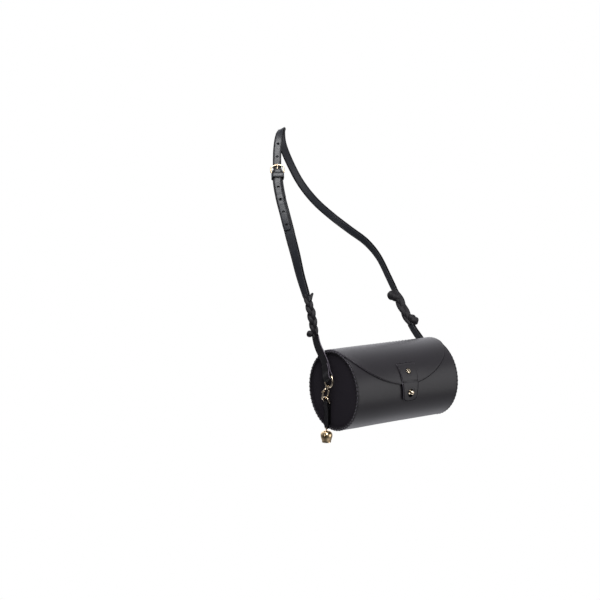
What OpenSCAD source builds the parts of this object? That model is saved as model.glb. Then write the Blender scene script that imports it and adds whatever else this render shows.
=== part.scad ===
// Barrel bag with a knotted crossbody strap, in millimetres.
// The bag hangs from a strap that lies over a shoulder. The origin is the middle of the strap's
// inner face where it crosses the shoulder. +Z is up, the bag's front faces -Y and its ends face X.

/* [Barrel] */
// Outside diameter of the barrel
barrel_d = 150; // [120:1:190]
// Length of the barrel over its rims
barrel_l = 245; // [200:1:320]
// Thickness of the barrel's leather
leather_t = 3; // [2:0.1:4]
// Thickness of the end discs
disc_t = 3; // [2:0.1:4]
// Thickness of the stiffener board behind each disc
board_t = 2; // [1:0.1:3]
// How far the discs sit inside the rims
disc_inset = 2; // [1:0.1:4]
// Stitches round each rim
rim_stitches = 60; // [30:1:90]
// Diameter of the stitching cord
cord_d = 1; // [0.6:0.1:1.2]

/* [Flap and tab] */
// Thickness of the flap
flap_t = 2; // [1.5:0.1:3]
// Angle round the barrel where the flap turns, from the front
flap_turn_a = 100; // [95:1:112]
// Angle round the barrel where the flap's curve starts at the ends
flap_end_a = 81; // [74:1:86]
// Angle round the barrel of the flap's lowest point
flap_low_a = 8; // [4:1:20]
// Width of the sewn band behind the flap's turn
band_w = 14; // [10:1:24]
// Overlap of the flap past the mouth
mouth_lap = 14; // [8:1:20]
// Thickness of the closure tab
tab_t = 2.5; // [2:0.1:3.5]
// Width of the tab at its upper end
tab_top_w = 42; // [32:1:52]
// Width of the tab where it bends
tab_bend_w = 37; // [28:1:46]
// Width of the tab near its lower end
tab_low_w = 31; // [24:1:40]
// Angle round the barrel of the tab's upper end
tab_top_a = 39; // [34:1:44]
// Angle round the barrel where the tab bends
tab_bend_a = 10.5; // [9:0.5:13]
// Angle round the barrel of the tab's lower end
tab_low_a = -15; // [-20:1:-13]
// Angle round the barrel of the slotted screw
screw_a = 26; // [24:1:30]
// Diameter of the slotted screw's head
screw_d = 8; // [6:0.5:10]
// Angle round the barrel of the ball stud
stud_a = -2.8; // [-5:0.1:-1]
// Diameter of the stud's ball
ball_d = 8; // [6:0.5:9]

/* [Strap] */
// Height of the shoulder over the barrel's centre line
strap_drop = 479; // [420:1:560]
// How far the barrel lies in front of the shoulder
strap_reach = 246; // [200:1:300]
// How far the barrel lies to the right of the shoulder
strap_shift = 68; // [40:1:90]
// Width of the strap
strap_w = 20; // [16:0.5:24]
// Thickness of the strap
strap_t = 3; // [2:0.1:3.4]
// Distance of the strap's middle from the rim
strap_out = 5; // [4.5:0.1:7]
// Distance along the strap from the left hook to the buckle
buckle_at = 433.5; // [423.5:1:441.5]
// Spacing of the strap's holes
hole_pitch = 27.3; // [22.3:1:33.3]
// Diameter of the strap's holes
hole_d = 4.5; // [3:0.1:5]
// Holes below the buckle
holes_below = 4; // [2:1:4]
// Holes above the buckle
holes_above = 2; // [1:1:4]
// Length of the strap's end past the last hole
tongue_l = 10; // [8:1:18]
// Distance along the strap from the left hook to the left knot
left_knot_at = 84; // [76:1:92]
// Distance along the strap from the right hook to the right knot
right_knot_at = 99; // [90:1:112]
// Length of each knot
knot_l = 84; // [60:1:90]
// Diameter of the round lump at each end of a knot
knob_d = 15; // [10:0.5:18]

/* [Hardware] */
// Wire diameter of the hooks and the strap eyes
hook_wire = 3.5; // [2.5:0.1:4]
// Tilt of the hooks from upright
hook_tilt = 20; // [10:1:26]
// Lean of the strap's ends back from upright
strap_lean = 28; // [20:1:34]
// Length of the hook's straight sides
hook_side = 10.5; // [9:0.5:14]
// Width inside the hook
hook_gap = 8.8; // [7:0.1:10]
// Wire diameter of the small rings on the ends
dee_wire = 3; // [2.5:0.1:3.2]
// Width of the leather strips that hold the small rings
anchor_w = 18; // [16:0.5:22]
// Thickness of the leather strips
anchor_t = 2; // [1.6:0.1:2.4]
// Wire diameter of the buckle
buckle_wire = 3.2; // [2.5:0.1:3.6]
// Height of the buckle between its bars
buckle_h = 14; // [14:0.5:20]
// Widest diameter of the bell
bell_d = 22.5; // [16:0.5:26]
// Height of the bell
bell_h = 22; // [16:0.5:28]

/* [Hidden] */

leather = "#3f3d41";
suede = "#242226";
brass = "#b9975b";
thread = "#59565c";

fit = 0.3;
seat = 0.15;
over = 1;
round_fn = 96;
barrel_fn = 180;

half_l = barrel_l / 2;
barrel_r = barrel_d / 2;
inner_r = barrel_r - leather_t;
flap_r = barrel_r + fit;
flap_out_r = flap_r + flap_t;
tab_r = flap_out_r + seat;
tab_out_r = tab_r + tab_t;

// Moves what is drawn about the barrel's centre to its place under the shoulder.
module at_bag() {
    translate([strap_shift, -strap_reach, -strap_drop]) children();
}

// Draws a left piece, or its mirror image on the right.
module on_side(right = false) {
    at_bag() mirror([right ? 1 : 0, 0, 0]) children();
}

// Draws a cylinder that lies along X with its middle at the origin.
module rod_x(r, l, fn = round_fn) {
    rotate([0, 90, 0]) cylinder(r = r, h = l, center = true, $fn = fn);
}

// Draws a tube that lies along X with its middle at the origin.
module tube_x(r_in, r_out, l) {
    difference() {
        rod_x(r_out, l, barrel_fn);
        rod_x(r_in, l + 2 * over, barrel_fn);
    }
}

// Turns Z to point out of the barrel at an angle a round it from the front, at a distance r.
module out_of_barrel(a, r) {
    rotate([90 - a, 0, 0]) translate([0, 0, r]) children();
}

// Keeps the part of a piece round the barrel between two angles from the front.
module between_angles(low, high, r) {
    reach = 2 * r;
    intersection() {
        children();
        rotate([-low, 0, 0]) translate([-reach, -reach, 0]) cube([2 * reach, 2 * reach, reach]);
        rotate([-high, 0, 0]) translate([-reach, -reach, -reach])
            cube([2 * reach, 2 * reach, reach]);
    }
}

// The flap's outline is drawn square to the line at view_a and cut through its sheet. It is half
// an ellipse that hangs from the height of flap_end_a and reaches down to flap_low_a.
view_a = 50;
function rise(a, r) = r * sin(a - view_a);
outline_steps = 36;
flap_mid = rise(flap_end_a, flap_out_r);
flap_deep = flap_mid - rise(flap_low_a, flap_out_r);
mouth_half = half_l - mouth_lap;
mouth_deep = flap_deep - mouth_lap;
mouth_turn_a = flap_turn_a - 8;

module hanging_outline(half, deep, mid, top) {
    arc = [for (i = [0:outline_steps])
        let (a = 180 + 180 * i / outline_steps) [half * cos(a), mid + deep * sin(a)]];
    polygon(concat([[half, top], [-half, top]], arc));
}

// Cuts an outline, X to the right and Y up as seen along view_a, through the front of the barrel.
module through_front(r) {
    rotate([90 - view_a, 0, 0]) linear_extrude(height = 2 * r) children();
}

module barrel_shell() {
    color(leather) at_bag() difference() {
        tube_x(inner_r, barrel_r, barrel_l);
        between_angles(view_a - 90, mouth_turn_a, barrel_d)
            through_front(barrel_r)
                hanging_outline(mouth_half, mouth_deep, flap_mid, 2 * barrel_r);
        out_of_barrel(stud_a, inner_r - over)
            cylinder(d = stud_neck_d + 2 * seat, h = leather_t + 2 * over, $fn = round_fn);
    }
}

module end_disc() {
    color(suede) translate([-half_l + disc_inset + disc_t / 2, 0, 0])
        rod_x(inner_r - seat, disc_t, barrel_fn);
}
module left_end_disc() { on_side() end_disc(); }
module right_end_disc() { on_side(true) end_disc(); }

module end_board() {
    color("#6b5a48") translate([-half_l + disc_inset + disc_t + seat + board_t / 2, 0, 0])
        rod_x(inner_r - seat, board_t, barrel_fn);
}
module left_end_board() { on_side() end_board(); }
module right_end_board() { on_side(true) end_board(); }

// Each stitch is a short bar of cord that lies across the rim's edge.
module rim_stitching() {
    color(thread) for (i = [0:rim_stitches - 1])
        rotate([(i + 0.5) * 360 / rim_stitches, 0, 0])
            translate([-half_l - cord_d / 2, 0, inner_r + seat])
                cylinder(d = cord_d, h = leather_t - 2 * seat, $fn = 16);
}
module left_rim_stitching() { on_side() rim_stitching(); }
module right_rim_stitching() { on_side(true) rim_stitching(); }

module flap() {
    color(leather) at_bag() difference() {
        between_angles(view_a - 90, flap_turn_a, barrel_d) intersection() {
            tube_x(flap_r, flap_out_r, barrel_l);
            through_front(flap_out_r)
                hanging_outline(half_l, flap_deep, flap_mid, 2 * barrel_r);
        }
        out_of_barrel(screw_a, flap_r - over)
            cylinder(d = post_d + 2 * seat, h = flap_t + 2 * over, $fn = round_fn);
    }
}

// The sheet that the flap is part of goes on behind its turn and is sewn to the barrel there.
turn_gap_a = asin(fit / flap_out_r);
band_a = flap_turn_a + turn_gap_a + 360 * band_w / (2 * PI * barrel_r);
module flap_hinge_band() {
    color(leather) at_bag()
        between_angles(flap_turn_a + turn_gap_a, band_a, barrel_d)
            tube_x(barrel_r, flap_out_r, barrel_l);
}

band_stitch_l = 5;
band_stitch_pitch = 8;
band_stitch_n = floor((barrel_l - 2 * band_stitch_pitch) / band_stitch_pitch);
module band_stitching() {
    color(thread) at_bag() for (i = [0:band_stitch_n])
        translate([(i - band_stitch_n / 2) * band_stitch_pitch, 0, 0])
            out_of_barrel(band_a - 4, flap_out_r + cord_d / 2)
                rod_x(cord_d / 2, band_stitch_l, 16);
}

// The tab narrows downwards, and its lower end is round. Its outline is seen along tab_view_a.
tab_view_a = 12;
function tab_rise(a) = tab_out_r * sin(a - tab_view_a);
tab_flat = 2;
tab_round = tab_low_w / 2 - tab_flat;
module tab_outline() {
    low = tab_rise(tab_low_a);
    polygon([
        [-tab_top_w / 2, tab_rise(tab_top_a)],
        [-tab_bend_w / 2, tab_rise(tab_bend_a)],
        [-tab_low_w / 2, low + tab_round],
        for (i = [1:11]) let (a = 180 + 15 * i)
            [tab_low_w / 2 * cos(a), low + tab_round + tab_round * sin(a)],
        [tab_low_w / 2, low + tab_round],
        [tab_bend_w / 2, tab_rise(tab_bend_a)],
        [tab_top_w / 2, tab_rise(tab_top_a)],
    ]);
}
module tab_sheet(low, high) {
    between_angles(low, high, barrel_d) intersection() {
        tube_x(tab_r, tab_out_r, tab_top_w + 2 * over);
        rotate([90 - tab_view_a, 0, 0]) linear_extrude(height = barrel_d) tab_outline();
    }
}

module closure_tab() {
    color(leather) at_bag() difference() {
        tab_sheet(tab_bend_a, tab_top_a + 15);
        out_of_barrel(screw_a, tab_r - over)
            cylinder(d = post_d + 2 * seat, h = tab_t + 2 * over, $fn = round_fn);
    }
}

// The tongue's hole slips over the ball and runs on towards the tip, as a cut that lets it pass.
stud_hole_room = 1.2;
stud_hole_d = ball_d + stud_hole_room;
stud_hole_run = 3.6;
bend_gap_a = asin(fit / tab_out_r);
module tab_tongue() {
    color(leather) at_bag() difference() {
        tab_sheet(view_a - 89, tab_bend_a - bend_gap_a);
        out_of_barrel(stud_a, tab_r - over) {
            cylinder(d = stud_hole_d, h = 2 * tab_t + 2 * over, $fn = round_fn);
            translate([0, -stud_hole_run, 0])
                cylinder(d = stud_hole_d, h = 2 * tab_t + 2 * over, $fn = round_fn);
            translate([-stud_hole_d / 2, -stud_hole_run, 0])
                cube([stud_hole_d, stud_hole_run, 2 * tab_t + 2 * over]);
        }
    }
}

// The slotted screw goes through the tab and the flap into a post with a flat back.
screw_head_t = 1.5;
slot_w = 1;
slot_deep = 0.7;
post_d = 5;
post_back_d = 9;
post_back_t = 1.2;
screw_shank_d = 3;
module tab_screw() {
    color(brass) at_bag() out_of_barrel(screw_a, tab_out_r + seat) {
        difference() {
            cylinder(d = screw_d, h = screw_head_t, $fn = round_fn);
            rotate([0, 0, 35]) translate([-screw_d, -slot_w / 2, screw_head_t - slot_deep])
                cube([2 * screw_d, slot_w, screw_head_t]);
        }
        translate([0, 0, -tab_t - flap_t])
            cylinder(d = screw_shank_d, h = tab_t + flap_t, $fn = round_fn);
    }
}
module tab_screw_post() {
    color(brass) at_bag() out_of_barrel(screw_a, flap_r - post_back_t - seat) difference() {
        union() {
            cylinder(d = post_back_d, h = post_back_t, $fn = round_fn);
            cylinder(d = post_d, h = tab_out_r - flap_r + post_back_t, $fn = round_fn);
        }
        translate([0, 0, post_back_t / 2])
            cylinder(d = screw_shank_d + 2 * seat, h = barrel_r, $fn = round_fn);
    }
}

// The ball stud stands on the barrel, with its screw through the leather from inside.
stud_neck_d = 4;
stud_foot_d = 9;
stud_foot_t = 1;
ball_sink = 1;
ball_r_at = tab_out_r + ball_d / 2 - ball_sink;
module stud_ball() {
    color(brass) at_bag() out_of_barrel(stud_a, barrel_r + seat) difference() {
        union() {
            cylinder(d = stud_foot_d, h = stud_foot_t, $fn = round_fn);
            cylinder(d = stud_neck_d, h = ball_r_at - barrel_r, $fn = round_fn);
            translate([0, 0, ball_r_at - barrel_r]) sphere(d = ball_d, $fn = round_fn);
        }
        translate([0, 0, -over])
            cylinder(d = stud_screw_d + 2 * seat, h = stud_screw_l + over, $fn = round_fn);
    }
}
stud_screw_d = 2.4;
stud_screw_l = 4;
stud_head_t = 1.4;
module stud_screw() {
    color(brass) at_bag() out_of_barrel(stud_a, inner_r - fit) {
        translate([0, 0, -stud_head_t])
            cylinder(d = stud_foot_d, h = stud_head_t, $fn = round_fn);
        cylinder(d = stud_screw_d, h = leather_t + stud_screw_l, $fn = round_fn);
    }
}

// The hook hangs from its eye bar. In its own frame the bar lies along X, +Y points out of the
// bag's end and +Z points up the strap.
eye_y = 2;
eye_z = 23;
hook_step = 2;
hook_out = strap_out + hook_step;
module in_hook() {
    translate([-half_l - hook_out, eye_y, eye_z]) rotate([hook_tilt, 0, 0])
        rotate([0, 0, 90]) children();
}

eye_half = strap_w / 2 + hook_wire / 2 + seat;
eye_boss_z = -14;
eye_boss_t = 3.6;
eye_boss_d = 8;
eye_side = 4.4;
eye_mid_z = eye_boss_z - eye_boss_t / 2 + eye_half;
hook_r = (hook_gap + hook_wire) / 2;
hook_top = eye_boss_z - eye_boss_t - fit;
hook_neck = 3;
hook_neck_d = 7;
arch_z = hook_top - hook_neck - hook_r;
bend_z = arch_z - hook_side;
post_r = 1.6;
cap_t = 1.4;
gate_d = 3.2;
gate_z = arch_z - gate_d / 2 - fit;
pin_d = 1.4;
cheek_t = 1.2;
cheek_d = gate_d + cheek_t;

// The eye is a D-shaped loop. Its bar is square to the strap's end, and its bow turns off the
// hook's own line to meet it.
module hook_eye() {
    color(brass) in_hook() difference() {
        union() {
            translate([0, 0, eye_mid_z]) rotate([0, hook_tilt + strap_lean, 0]) {
                translate([0, 0, eye_side]) rod_x(hook_wire / 2, 2 * eye_half, 48);
                rotate([0, 0, 90]) half_ring(eye_half, hook_wire, false);
                for (s = [-1, 1]) translate([s * eye_half, 0, 0]) {
                    cylinder(d = hook_wire, h = eye_side, $fn = 48);
                    translate([0, 0, eye_side]) sphere(d = hook_wire, $fn = 48);
                }
            }
            translate([0, 0, eye_boss_z - eye_boss_t])
                cylinder(d = eye_boss_d, h = eye_boss_t, $fn = round_fn);
        }
        translate([0, 0, eye_boss_z - eye_boss_t - over])
            cylinder(r = post_r + seat, h = eye_boss_t + over, $fn = round_fn);
        translate([0, 0, eye_boss_z])
            cylinder(r = 2 * post_r + seat, h = cap_t + 2 * over, $fn = round_fn);
    }
}
module left_hook_eye() { on_side() hook_eye(); }
module right_hook_eye() { on_side(true) hook_eye(); }

// Draws half a ring of wire in the plane x = 0, open downwards or upwards.
module half_ring(r, d, up) {
    rotate([0, up ? 0 : 180, 0]) rotate([90, 0, 90])
        rotate_extrude(angle = 180, $fn = round_fn) translate([r, 0]) circle(d = d, $fn = 32);
}

// The hook is a wire loop that is closed on its outer side by the gate.
module hook_body() {
    color(brass) in_hook() difference() {
        union() {
            translate([0, 0, eye_boss_z + seat]) cylinder(r = 2 * post_r, h = cap_t, $fn = round_fn);
            translate([0, 0, hook_top]) cylinder(r = post_r, h = eye_boss_t + fit + seat,
                $fn = round_fn);
            translate([0, 0, arch_z + hook_r]) cylinder(d = hook_neck_d, h = hook_neck,
                $fn = round_fn);
            translate([0, 0, arch_z]) half_ring(hook_r, hook_wire, true);
            translate([0, -hook_r, bend_z]) cylinder(d = hook_wire, h = hook_side, $fn = 32);
            translate([0, 0, bend_z]) half_ring(hook_r, hook_wire, false);
            for (s = [-1, 1]) translate([s * (gate_d / 2 + seat + cheek_t / 2), hook_r, gate_z])
                rotate([0, 90, 0]) cylinder(d = cheek_d, h = cheek_t, center = true, $fn = 32);
            translate([-gate_d / 2 - seat - cheek_t, hook_r - gate_d / 2, arch_z - seat])
                cube([gate_d + 2 * seat + 2 * cheek_t, gate_d, hook_wire / 2 + seat]);
        }
        translate([0, hook_r, gate_z]) rod_x(pin_d / 2 + seat / 2, 4 * gate_d, 32);
    }
}
module left_hook_body() { on_side() hook_body(); }
module right_hook_body() { on_side(true) hook_body(); }

gate_low = bend_z + fit;
module hook_gate() {
    color(brass) in_hook() translate([0, hook_r, 0]) difference() {
        union() {
            translate([0, 0, gate_low]) cylinder(d = gate_d, h = gate_z - gate_low, $fn = 32);
            translate([0, 0, gate_z]) sphere(d = gate_d, $fn = 32);
        }
        translate([0, 0, gate_z]) rod_x(pin_d / 2 + seat, 2 * gate_d, 32);
    }
}
module left_hook_gate() { on_side() hook_gate(); }
module right_hook_gate() { on_side(true) hook_gate(); }

module gate_pin() {
    color(brass) in_hook() translate([0, hook_r, gate_z])
        rod_x(pin_d / 2, gate_d + 2 * seat + 2 * cheek_t, 32);
}
module left_gate_pin() { on_side() gate_pin(); }
module right_gate_pin() { on_side(true) gate_pin(); }

// The small ring leans out from its leather loop to lie in the bottom of the hook.
dee_room = 1;
dee_r = anchor_w / 2 + dee_wire / 2 + seat + dee_room;
dee_y = 16;
dee_bar_out = anchor_t + dee_wire / 2 + seat;
lie_in = 1.2;
lie_down = 1.6;
hang_y = eye_y - sin(hook_tilt) * (bend_z - lie_down);
hang_z = eye_z + cos(hook_tilt) * (bend_z - lie_down);
disc_face = -half_l + disc_inset;
dee_x = disc_face - dee_bar_out;
dee_lean = asin((half_l + hook_out - lie_in + dee_x) / dee_r);
dee_z = hang_z - cos(dee_lean) * sqrt(dee_r * dee_r - (hang_y - dee_y) * (hang_y - dee_y));

module in_dee() {
    translate([dee_x, dee_y, dee_z]) rotate([0, -dee_lean, 0]) children();
}
module dee_ring() {
    color(brass) in_dee() {
        half_ring(dee_r, dee_wire, true);
        rotate([90, 0, 0]) cylinder(d = dee_wire, h = 2 * dee_r, center = true, $fn = 32);
        for (s = [-1, 1]) translate([0, s * dee_r, 0]) sphere(d = dee_wire, $fn = 32);
    }
}
module left_dee_ring() { on_side() dee_ring(); }
module right_dee_ring() { on_side(true) dee_ring(); }

// The strip is folded round the ring's bar. Its back leg lies on the disc, and its front leg
// passes the rim and ends below it, with a hole for the bell's ring.
rim_clear = cord_d + fit;
front_leg = half_l + rim_clear;
fold_r = dee_wire / 2 + seat + anchor_t;
back_up = 9;
back_low = -inner_r + back_up;
bell_hole_up = 2.3;
bell_hole_z = -barrel_r + bell_hole_up;
bell_hole_edge = 2.1;
strip_low = bell_hole_z - bell_hole_edge;
strip_bend_z = dee_z - 3 * fold_r;
strip_corner_share = 0.72;
module anchor_strip(bell) {
    color(leather) difference() {
        translate([0, dee_y + anchor_w / 2, 0]) rotate([90, 0, 0])
            linear_extrude(height = anchor_w) difference() {
                union() {
                    translate([dee_x, dee_z]) circle(r = fold_r, $fn = 48);
                    polygon([[disc_face, dee_z], [disc_face, back_low],
                        [disc_face - anchor_t, back_low], [disc_face - anchor_t, dee_z]]);
                    polygon([[dee_x - fold_r, dee_z], [-front_leg - anchor_t, strip_bend_z],
                        [-front_leg - anchor_t, bell ? strip_low : back_low],
                        [-front_leg, bell ? strip_low : back_low],
                        [-front_leg, strip_bend_z],
                        [dee_x - fold_r + anchor_t, dee_z]]);
                }
                translate([dee_x, dee_z]) circle(r = fold_r - anchor_t, $fn = 48);
            }
        for (s = [-1, 1])
            translate([-half_l, dee_y + s * anchor_w * strip_corner_share, strip_low])
                rotate([45, 0, 0]) cube([barrel_r, anchor_w / 2, anchor_w / 2], center = true);
        translate([-front_leg - anchor_t / 2, bell_y, bell_hole_z])
            rod_x(bell_wire / 2 + fit, 2 * anchor_t, 32);
    }
}
module left_anchor_strip() { on_side() anchor_strip(true); }
module right_anchor_strip() { on_side(true) anchor_strip(false); }

// Two rows of stitches hold the strip's legs to the disc.
strip_stitch_l = 3.4;
strip_stitch_pitch = 5.2;
strip_stitch_in = 2.4;
strip_stitch_up = 3;
strip_stitch_room = strip_bend_z - back_low - strip_stitch_up - strip_stitch_l;
strip_stitch_n = floor(strip_stitch_room / strip_stitch_pitch) + 1;
module anchor_stitching() {
    color(thread) for (s = [-1, 1], i = [0:strip_stitch_n - 1])
        translate([-front_leg - anchor_t - cord_d / 2,
            dee_y + s * (anchor_w / 2 - strip_stitch_in),
            back_low + strip_stitch_up + i * strip_stitch_pitch])
            cylinder(d = cord_d, h = strip_stitch_l, $fn = 16);
}
module left_anchor_stitching() { on_side() anchor_stitching(); }
module right_anchor_stitching() { on_side(true) anchor_stitching(); }

// The bell hangs from a ring through the left strip's lower end.
bell_y = dee_y;
bell_wire = 1.1;
bell_ring_r = 2.2;
bell_ring_x = -front_leg - anchor_t / 2;
bell_ring_z = bell_hole_z - bell_ring_r + seat;
bell_wall = 1.2;
crown_r = 1.5;
crown_wire = 1.1;
crown_z = bell_ring_z - bell_ring_r - (crown_r - crown_wire / 2 - bell_wire / 2) + seat;
bell_top = crown_z - crown_r;
module bell_ring() {
    color(brass) on_side() translate([bell_ring_x, bell_y, bell_ring_z]) rotate([90, 0, 0])
        rotate_extrude($fn = 48) translate([bell_ring_r, 0]) circle(d = bell_wire, $fn = 16);
}

// Half the bell's outline, from its crown down to its mouth, as shares of its radius and height.
bell_shares = [[0.16, 0], [0.5, -0.03], [0.8, -0.12], [0.96, -0.26], [1, -0.4], [0.96, -0.56],
    [0.86, -0.74], [0.78, -0.88], [0.76, -1]];
module bell_cup() {
    r = bell_d / 2;
    outer = [for (p = bell_shares) [r * p.x, bell_h * p.y]];
    inner = [for (i = [len(outer) - 1:-1:1]) [outer[i].x - bell_wall, outer[i].y
        - (i < 3 ? bell_wall : 0)]];
    color(brass) on_side() translate([bell_ring_x, bell_y, bell_top]) {
        rotate_extrude($fn = 72) polygon(concat([[0, 0]], outer, inner,
            [[0, -bell_wall * 1.6]]));
        translate([0, 0, crown_z - bell_top]) rotate([0, 90, 0])
            rotate_extrude($fn = 32) translate([crown_r, 0]) circle(d = crown_wire, $fn = 16);
        translate([0, 0, -clap_hang]) rotate([90, 0, 0]) rotate_extrude($fn = 32)
            translate([clap_eye_r, 0]) circle(d = crown_wire, $fn = 16);
    }
}

// The clapper is a stem with an eye that hangs from a loop inside the crown.
clap_hang = 2.7;
clap_eye_r = 1.5;
clap_ball_d = 5;
clap_stem_d = 1.2;
clap_l = bell_h * 0.62;
clap_top = clap_hang + clap_eye_r + (clap_eye_r - crown_wire) - seat;
module bell_clapper() {
    color(brass) on_side() translate([bell_ring_x, bell_y, bell_top - clap_top]) {
        rotate([0, 90, 0]) rotate_extrude($fn = 32) translate([clap_eye_r, 0])
            circle(d = crown_wire, $fn = 16);
        translate([0, 0, -clap_l]) cylinder(d = clap_stem_d, h = clap_l - clap_eye_r,
            $fn = 24);
        translate([0, 0, -clap_l]) sphere(d = clap_ball_d, $fn = 48);
    }
}

// The strap's route, from the left hook's eye bar over the shoulder to the right hook's eye bar.
// Each row has its place as shares of the barrel's half length, the reach and the drop, and then
// the direction that the strap's outer face looks.
rise_shares = [
    [[-1, 0.057, 0.090], [-1, 0, 0]],
    [[-1, 0.083, 0.112], [-1, 0, 0]],
    [[-1, 0.122, 0.137], [-1, 0, 0]],
    [[-1, 0.170, 0.168], [-1, 0, 0]],
    [[-1, 0.197, 0.200], [-1, 0, 0]],
    [[-1, 0.228, 0.250], [-1, 0, 0.05]],
    [[-1, 0.265, 0.305], [-1, 0, 0.05]],
    [[-1, 0.335, 0.372], [-1, -0.10, 0.10]],
    [[-0.995, 0.402, 0.433], [-1, -0.25, 0.15]],
    [[-0.99, 0.470, 0.510], [-1, -0.50, 0.25]],
    [[-0.985, 0.545, 0.588], [-1, -0.85, 0.35]],
    [[-0.97, 0.625, 0.665], [-0.8, -1, 0.40]],
    [[-0.93, 0.715, 0.732], [-0.62, -1, 0.42]],
    [[-0.88, 0.790, 0.793], [-0.55, -1, 0.42]],
    [[-0.83, 0.838, 0.850], [-0.55, -1, 0.35]],
    [[-0.77, 0.885, 0.906], [-0.55, -1, 0.35]],
    [[-0.71, 0.915, 0.953], [-0.55, -1, 0.45]],
    [[-0.66, 0.930, 0.984], [-0.50, -0.8, 1]],
];
fall_shares = [
    [[-0.42, 1.090, 0.986], [0.2, 0.5, 1]],
    [[-0.27, 1.175, 0.935], [0.15, 1, 0.6]],
    [[-0.02, 1.250, 0.855], [0.05, 1, 0.30]],
    [[0.23, 1.280, 0.770], [0.15, 1, 0.15]],
    [[0.48, 1.255, 0.692], [0.4, 1, 0.10]],
    [[0.71, 1.170, 0.625], [0.8, 0.9, 0.10]],
    [[0.88, 1.035, 0.568], [1, 0.6, 0.05]],
    [[0.97, 0.870, 0.520], [1, 0.2, 0]],
    [[1, 0.720, 0.461], [1, 0, 0]],
    [[1, 0.580, 0.378], [1, 0, 0]],
    [[1, 0.462, 0.302], [1, 0, 0]],
    [[1, 0.352, 0.231], [1, 0, 0]],
    [[1, 0.262, 0.180], [1, 0, 0]],
    [[1, 0.190, 0.149], [1, 0, 0]],
    [[1, 0.130, 0.125], [1, 0, 0]],
    [[1, 0.085, 0.106], [1, 0, 0]],
    [[1, 0.057, 0.087], [1, 0, 0]],
];

// The strap lies flat for rest_l where it crosses the shoulder, rest_turn from straight back.
rest_l = 16;
rest_turn = 37;
rest_way = [sin(rest_turn), cos(rest_turn), 0];
rest_mid = [-strap_shift, strap_reach, strap_drop + strap_t / 2];
eye_run = 12;
eye_way = [0, sin(strap_lean), cos(strap_lean)];
eye_mid = [-half_l - strap_out, eye_y - eye_mid_z * sin(hook_tilt),
    eye_z + eye_mid_z * cos(hook_tilt)];
eye_low = eye_mid + eye_side * eye_way;
eye_up = eye_low + eye_run * eye_way;
eye_points = [eye_low, (eye_low + eye_up) / 2, eye_up];
function placed(p) = [p.x * (half_l + strap_out), p.y * strap_reach, p.z * strap_drop];
function mirrored(p) = [-p.x, p.y, p.z];
route_points = concat(
    eye_points,
    [for (row = rise_shares) placed(row[0])],
    [for (i = [-2:2]) rest_mid + i * rest_l / 2 * rest_way],
    [for (row = fall_shares) placed(row[0])],
    [for (i = [2:-1:0]) mirrored(eye_points[i])]);
route_looks = concat(
    [for (p = eye_points) [-1, 0, 0]],
    [for (row = rise_shares) row[1]],
    [for (i = [-2:2]) [0, 0, 1]],
    [for (row = fall_shares) row[1]],
    [for (p = eye_points) [1, 0, 0]]);
route_n = len(route_points);

function near(list, i) = list[min(max(i, 0), len(list) - 1)];
function smooth(list, t) =
    let (i = min(floor(t), len(list) - 2), f = t - i,
        a = near(list, i - 1), b = near(list, i), c = near(list, i + 1), d = near(list, i + 2))
    b + f / 2 * ((c - a) + f * ((2 * a - 5 * b + 4 * c - d) + f * (3 * (b - c) + d - a)));
function unit(v) = v / norm(v);

// Distances along the route, so that places on the strap can be given in millimetres.
cut_n = 8 * (route_n - 1);
cuts = [for (i = [0:cut_n]) smooth(route_points, i / 8)];
sums = [for (i = 0, s = 0; i <= cut_n; s = s + norm(near(cuts, i + 1) - cuts[i]), i = i + 1) s];
route_l = sums[cut_n];
rest_at = sums[8 * (len(eye_points) + len(rise_shares) + 2)];
share_of = [for (i = [0:cut_n]) [sums[i], i / 8]];
function route_at(s) = smooth(route_points, lookup(s, share_of));
function along(s) = unit(route_at(min(s + 1, route_l)) - route_at(max(s - 1, 0)));
function across(s) = unit(cross(along(s), smooth(route_looks, lookup(s, share_of))));
function outwards(s) = cross(across(s), along(s));

// A band is swept along a list of [distance, height over the route], and a third value, if there
// is one, is the share of the width that is left there.
function lifted(q) =
    let (past = min(q[0], 0) + max(q[0] - route_l, 0), s = min(max(q[0], 0), route_l))
    route_at(s) + past * along(s) + q[1] * outwards(s);
function held(q) = across(min(max(q[0], 0), route_l));
module band(list, w, t) {
    n = len(list);
    mids = [for (q = list) lifted(q)];
    corners = [for (i = [0:n - 1])
        let (aim = unit(near(mids, i + 1) - near(mids, i - 1)), side = held(list[i]),
            up = unit(cross(side, aim)), wide = unit(cross(aim, up)),
            half = w / 2 * (len(list[i]) > 2 ? list[i][2] : 1))
        for (c = [[-1, -1], [1, -1], [1, 1], [-1, 1]])
            mids[i] + c[0] * half * wide + c[1] * t / 2 * up];
    faces = [
        [0, 2, 1], [0, 3, 2],
        for (i = [0:n - 2], k = [0:3]) let (a = 4 * i + k, b = 4 * i + (k + 1) % 4)
            each [[a, b, a + 4], [b, b + 4, a + 4]],
        [4 * n - 1, 4 * n - 3, 4 * n - 2], [4 * n - 1, 4 * n - 4, 4 * n - 3],
    ];
    at_bag() polyhedron(corners, faces);
}

// Lists places along the route at a steady height, about one every ring_step.
ring_step = 9;
function run(a, b, h) =
    let (n = max(1, ceil(abs(b - a) / ring_step)))
    [for (i = [0:n]) [a + (b - a) * i / n, h]];

// Lists places round a bar at distance s, from height h on one side to the other.
function round_bar(s, r, from_a, to_a) =
    [for (i = [0:6]) let (a = from_a + (to_a - from_a) * i / 6) [s + r * cos(a), r * sin(a)]];

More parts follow.
